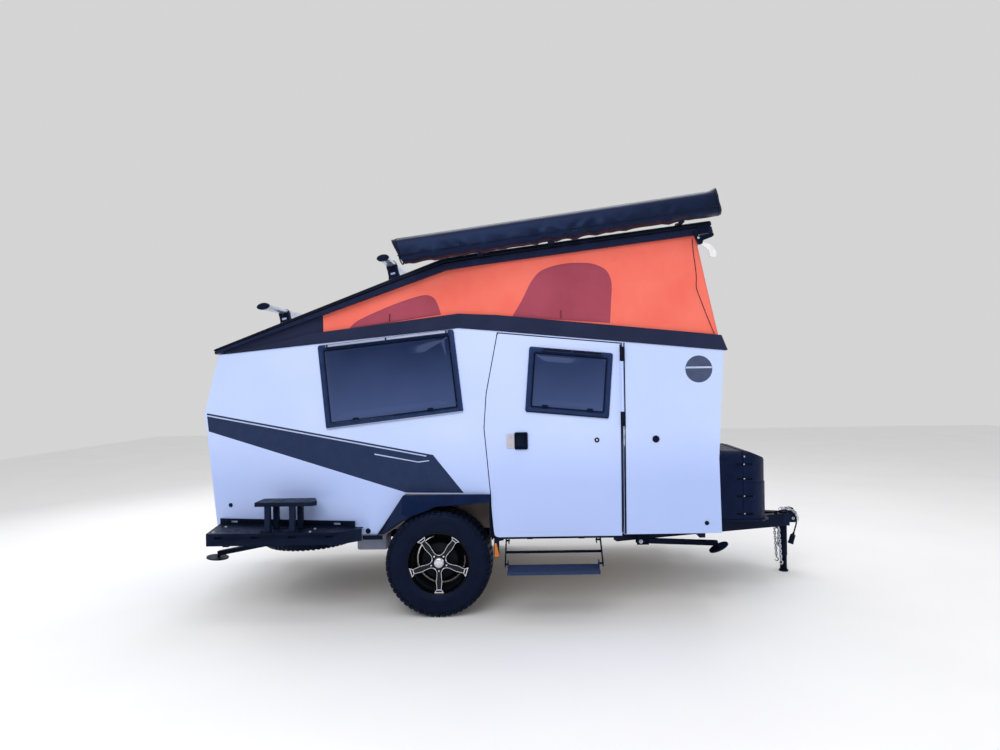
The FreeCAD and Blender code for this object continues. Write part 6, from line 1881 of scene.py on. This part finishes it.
def lamp_pad(bm, side, inner, outer, low, high, levels, slot, radius):
    """A rounded block on the rear wall, one outline for each inset and height off the wall."""
    loops = []
    for inset, proud in levels:
        y0, y1, z0, z1 = inner + inset, outer - inset, low + inset, high - inset
        shape = [Vector((y, z, 0)) for y, z in ((y0, z0), (y1, z0), (y1, z1), (y0, z1))]
        corners = rounded(shape, max(radius - inset, 2), 4)
        loops.append([bm.verts.new(rear_spot(side, p.x, p.y, proud)) for p in corners])
    band(bm, loops, slot, smooth=False)
    bm.faces.new(loops[-1]).material_index = slot
    bm.faces.new(loops[0][::-1]).material_index = slot


class TRAILER_OT_lamps(Operator):
    """Tail lamps in black bezels and the amber side reflectors."""
    bl_idname = "trailer.lamps"
    bl_label = "Lamps"

    def execute(self, context):
        bm = bmesh.new()
        outline = [(-184, 397), (-150, 397), (-147, 401), (-168, 495), (-171, 497), (-184, 497)]
        middle = (-169, 446)
        facet = in_metres([(0, 6), (1.5, 5), (2, 0)])
        for side in (-1, 1):
            out = Vector((0, side, 0))
            for inset, near, deep, slot in ((0.0, 928.3, 3.7, 1), (0.12, 931.8, 4.6, 0)):
                shape = [st(x + (middle[0] - x) * inset, side * near, z + (middle[1] - z) * inset * 0.5)
                         for x, z in outline]
                slab(bm, shape, out * deep / 1000, slot)
            for z in (420, 446, 472):
                lathe(bm, facet, st(-172, side * 936.4, z), out, 0, 6, smooth=False)
        piece("side_reflectors", bm, "trailer", ["amber_lens", "black_moulded_nylon"], bevel=0.0008,
              replaces=["lamps"])
        bm = bmesh.new()
        bezel = ((0, -21), (0, -7), (2, -5), (8, -5), (9, -8))
        glass = ((0, -8), (0, -2), (3, 0))
        screw = in_metres([(0, 3), (1.5, 2.8), (2, 0)])
        for side in (-1, 1):
            lamp_pad(bm, side, 410, 600, -6, 74, bezel, 0, 14)
            for slot, inner, outer in ((1, 500, 589), (2, 460, 497), (3, 421, 457)):
                lamp_pad(bm, side, inner, outer, 4, 64, glass, slot, 8)
            for y in (416, 594):
                lathe(bm, screw, rear_spot(side, y, 34, -5), REAR_OUT, 4, 10)
        piece("tail_lamps", bm, "trailer", ["black_moulded_nylon", "red_lens", "amber_lens", "clear_lens",
                                            "bright_zinc"])
        return {"FINISHED"}


# Fasteners and small fittings

UP = Vector((0, 0, 1))


def bolt_head(bm, foot, way, radius, slot=0):
    """Hex head on its washer."""
    low, high = 0.0016, 0.0016 + radius * 0.6
    washer = [(0.0, radius * 1.5), (0.0014, radius * 1.5), (0.0018, radius * 1.3), (0.0018, 0.0)]
    lathe(bm, washer, foot, way, slot, 20)
    head = [(low, radius), (high, radius), (high + radius * 0.15, radius * 0.8), (high + radius * 0.15, 0.0)]
    lathe(bm, head, foot, way, slot, 6, smooth=False)


LINK_LONG, LINK_WIDE, LINK_WIRE = 0.021, 0.014, 0.0021


def link(bm, centre, run, up):
    """One oval chain link."""
    side = run.cross(up).normalized()
    half = (LINK_LONG - LINK_WIDE) / 2
    path = []
    for along, across in round_section(LINK_WIDE / 2 - LINK_WIRE, 16):
        push = half if along > 0 else -half
        path.append(centre + run * (push + along) + side * across)
    sweep(bm, path, round_section(LINK_WIRE, 8), 0, closed=True, smooth=True)


def chain_along(bm, points):
    """Links that follow a line, each turned a quarter against the last."""
    line = curve_through(points, 24)
    pitch = LINK_LONG - 2.6 * LINK_WIRE
    gone, number = 0.0, 0
    for a, b in zip(line, line[1:]):
        gone += (b - a).length
        if gone >= pitch:
            gone -= pitch
            run = (b - a).normalized()
            across, up = axes_of(run)
            link(bm, b, run, up if number % 2 else across)
            number += 1


def strap(bm, cover, side, z):
    """A rubber strap over the slot in the gas cover's seam, with its snap."""
    rows = []
    for x in between(1676, 1788, 14):
        rows.append([bm.verts.new(against(cover, st(x, 0, z + dz), side, 0.0045)[0]) for dz in (-6, 6)])
    for one, two in zip(rows, rows[1:]):
        bm.faces.new((one[0], two[0], two[1], one[1])).material_index = 0
    foot, normal = against(cover, st(1732, 0, z), side)
    lathe(bm, in_metres([(0, 7.5), (4, 7.5), (6, 6), (6.5, 3), (5.5, 0)]), foot, normal, 1, 20)


LONG_CHAIN = [(2096, -52, 516), (2114, -30, 528), (2140, -58, 534), (2160, -34, 530), (2186, -60, 528),
              (2212, -66, 508), (2238, -72, 482), (2246, -76, 452), (2240, -78, 424)]
SHORT_CHAIN = [(2110, -56, 512), (2136, -40, 520), (2170, -62, 520), (2204, -56, 505), (2230, -62, 478),
               (2238, -66, 446)]


class TRAILER_OT_fasteners(Operator):
    """Bolts of the tray, stand and stabilisers, cover straps, coupler fittings and the loose chain."""
    bl_idname = "trailer.fasteners"
    bl_label = "Fasteners"

    def execute(self, context):
        deck = 604.4
        bm = bmesh.new()
        for y0, y1 in ((-1010, -958), (-892, -840)):
            foot_plate = ((-1768, y0), (-1498, y0), (-1498, y1), (-1768, y1))
            slab(bm, [st(x, y, deck) for x, y in foot_plate], UP * 0.004, 0)
            for x in (-1758, -1632, -1508):
                bolt_head(bm, st(x, (y0 + y1) / 2, deck + 4), UP, 0.0065, 0)
        for x, y in ((-2086, -985), (-2085, -812), (-1425, -1001), (-1422, -913)):
            bolt_head(bm, st(x, y, deck - 0.2), UP, 0.0075, 1)
        backing = ((-2112, 562), (-1232, 562), (-1232, 588), (-2112, 588))
        slab(bm, [st(x, -1006, z) for x, z in backing], Vector((0, 0.002, 0)), 2)
        sill = ((-1100, 520), (-962, 520), (-962, 549), (-1100, 549))
        for side in (-1, 1):
            slab(bm, [st(x, side * 889, z) for x, z in sill], Vector((0, side * 0.006, 0)), 2)
        for x in (-2095, -1915, -1665, -1415, -1245):
            bolt_head(bm, st(x, -1022.1, 592), Vector((0, -1, 0)), 0.005, 0)
        piece("tray_fittings", bm, "trailer", ["powder_coated_steel", "bright_zinc", "black_seal_rubber"],
              bevel=0.0005)
        bm = bmesh.new()
        cover = skin("gas_cover")
        snap = in_metres([(0, 6.5), (4, 6.5), (5, 4), (5, 0)])
        for side in (-1, 1):
            for z in (544, 681, 817, 930):
                strap(bm, cover, side, z)
            foot, normal = against(cover, st(1732, 0, 990), side)
            lathe(bm, snap, foot, normal, 1, 20)
        piece("cover_straps", bm, "trailer", ["black_seal_rubber", "bright_zinc"])
        bm = bmesh.new()
        jobs = [(["tongue"], 1809, 479, 0.007, False), (["tongue"], 1560, 470, 0.007, False),
                (["chassis", "leg_front_right", "leg_front_left"], 880, 400, 0.010, True),
                (["chassis", "leg_rear_right", "leg_rear_left"], -1860, 426, 0.010, True),
                (["coupler"], 2222, 440, 0.008, True)]
        for nodes, x, z, radius, square in jobs:
            surface = skin(*nodes)
            for side in (-1, 1):
                foot, normal = against(surface, st(x, 0, z), side)
                bolt_head(bm, foot, Vector((0, side, 0)) if square else normal, radius, 0)
        piece("frame_bolts", bm, "trailer", ["bright_zinc"], bevel=0.0004)
        bm = bmesh.new()
        lever = [(2168, 512), (2178, 526), (2206, 530), (2234, 520), (2240, 508), (2234, 504), (2204, 514),
                 (2184, 510), (2176, 503)]
        slab(bm, [st(x, -6, z) for x, z in lever], Vector((0, 0.012, 0)), 0)
        rod(bm, st(2186, -12, 507), st(2186, 12, 507), 0.004, 1, 12)
        piece("coupler_lever", bm, "trailer", ["powder_coated_steel", "bright_zinc"], bevel=0.0012)
        bm = bmesh.new()
        for chain in (LONG_CHAIN, SHORT_CHAIN):
            chain_along(bm, [st(*point) for point in chain])
        piece("coupler_chain", bm, "trailer", ["bright_zinc"])
        return {"FINISHED"}


def colour_setting(name, description, default):
    """A colour that the sidebar shows."""
    return FloatVectorProperty(name=name, description=description, subtype="COLOR", size=3, default=default,
                               min=0.0, max=1.0)


def length_setting(name, description, default, least, most):
    """A length in metres that the sidebar shows."""
    return FloatProperty(name=name, description=description, subtype="DISTANCE", unit="LENGTH",
                         default=default, min=least, max=most)


class TrailerColours(PropertyGroup):
    """Colours that a user may change."""
    walls: colour_setting("Walls", "Gel coat of the cabin walls and the door", tone("#C2D3FF")[:3])
    stripe: colour_setting("Stripe", "Vinyl film of the stripes on the sides", tone("#242F4B")[:3])
    canvas: colour_setting("Canvas", "Canvas under the raised roof", tone("#FF7E6C")[:3])
    screen: colour_setting("Window screens", "Covers over the canvas windows", tone("#AF4F60")[:3])
    awning: colour_setting("Awning bag", "Coated vinyl of the rolled awning's bag", tone("#050B1E")[:3])
    steel: colour_setting("Steel", "Powder coat of the frame, tray, stand and legs", tone("#03060F")[:3])
    surround: colour_setting("Surround", "Colour of the soft light all round", (1.0, 1.0, 1.0))
    surround_strength: FloatProperty(name="Surround strength", description="Strength of the light all round",
                                     default=0.66, min=0.0, max=5.0)


class TrailerSizes(PropertyGroup):
    """Sizes that a user may change."""
    window_rise: length_setting("Window rise", "Dome of the long side windows", 0.026, 0.0, 0.05)
    small_window_rise: length_setting("Small window rise", "Dome of the door's window", 0.018, 0.0, 0.03)
    lead_diameter: length_setting("Lead diameter", "Diameter of the wiring lead", 0.012, 0.006, 0.016)
    awning_sag: length_setting("Awning sag", "Deepest fold of the awning's bag", 0.011, 0.002, 0.02)
    tread_blocks: IntProperty(name="Tread blocks", description="Blocks in each row round a tyre",
                              default=56, min=40, max=72)


class TRAILER_PT_pieces(Panel):
    """Sidebar list of the trailer's pieces."""
    bl_idname = "TRAILER_PT_pieces"
    bl_label = "Camping Trailer"
    bl_space_type = "VIEW_3D"
    bl_region_type = "UI"
    bl_category = "Trailer"

    def draw(self, context):
        layout = self.layout
        for group in (context.scene.trailer_sizes, context.scene.trailer_colours):
            for name in group.__annotations__:
                layout.prop(group, name)
        for operator in OPERATORS:
            layout.operator(operator.bl_idname)


OPERATORS = [TRAILER_OT_stage, TRAILER_OT_wiring, TRAILER_OT_carried_pieces, TRAILER_OT_wheels,
             TRAILER_OT_windows, TRAILER_OT_cabin_trim, TRAILER_OT_door_fittings, TRAILER_OT_wheel_arches,
             TRAILER_OT_roof, TRAILER_OT_awning, TRAILER_OT_tent, TRAILER_OT_door_edges, TRAILER_OT_lamps,
             TRAILER_OT_fasteners]
CLASSES = [TrailerColours, TrailerSizes, TRAILER_PT_pieces]


def register():
    """Adds the classes and the settings to Blender."""
    for cls in CLASSES + OPERATORS:
        bpy.utils.register_class(cls)
    bpy.types.Scene.trailer_colours = PointerProperty(type=TrailerColours)
    bpy.types.Scene.trailer_sizes = PointerProperty(type=TrailerSizes)


def unregister():
    """Takes the classes and the settings out again."""
    del bpy.types.Scene.trailer_sizes
    del bpy.types.Scene.trailer_colours
    for cls in reversed(CLASSES + OPERATORS):
        bpy.utils.unregister_class(cls)


def main():
    """Builds the whole trailer."""
    register()
    for obj in list(bpy.data.objects):
        if obj.type in {"CAMERA", "LIGHT"}:
            bpy.data.objects.remove(obj)
    make_finishes(bpy.context.scene.trailer_colours)
    for operator in OPERATORS:
        group, name = operator.bl_idname.split(".")
        getattr(getattr(bpy.ops, group), name)()


if __name__ == "__main__":
    main()
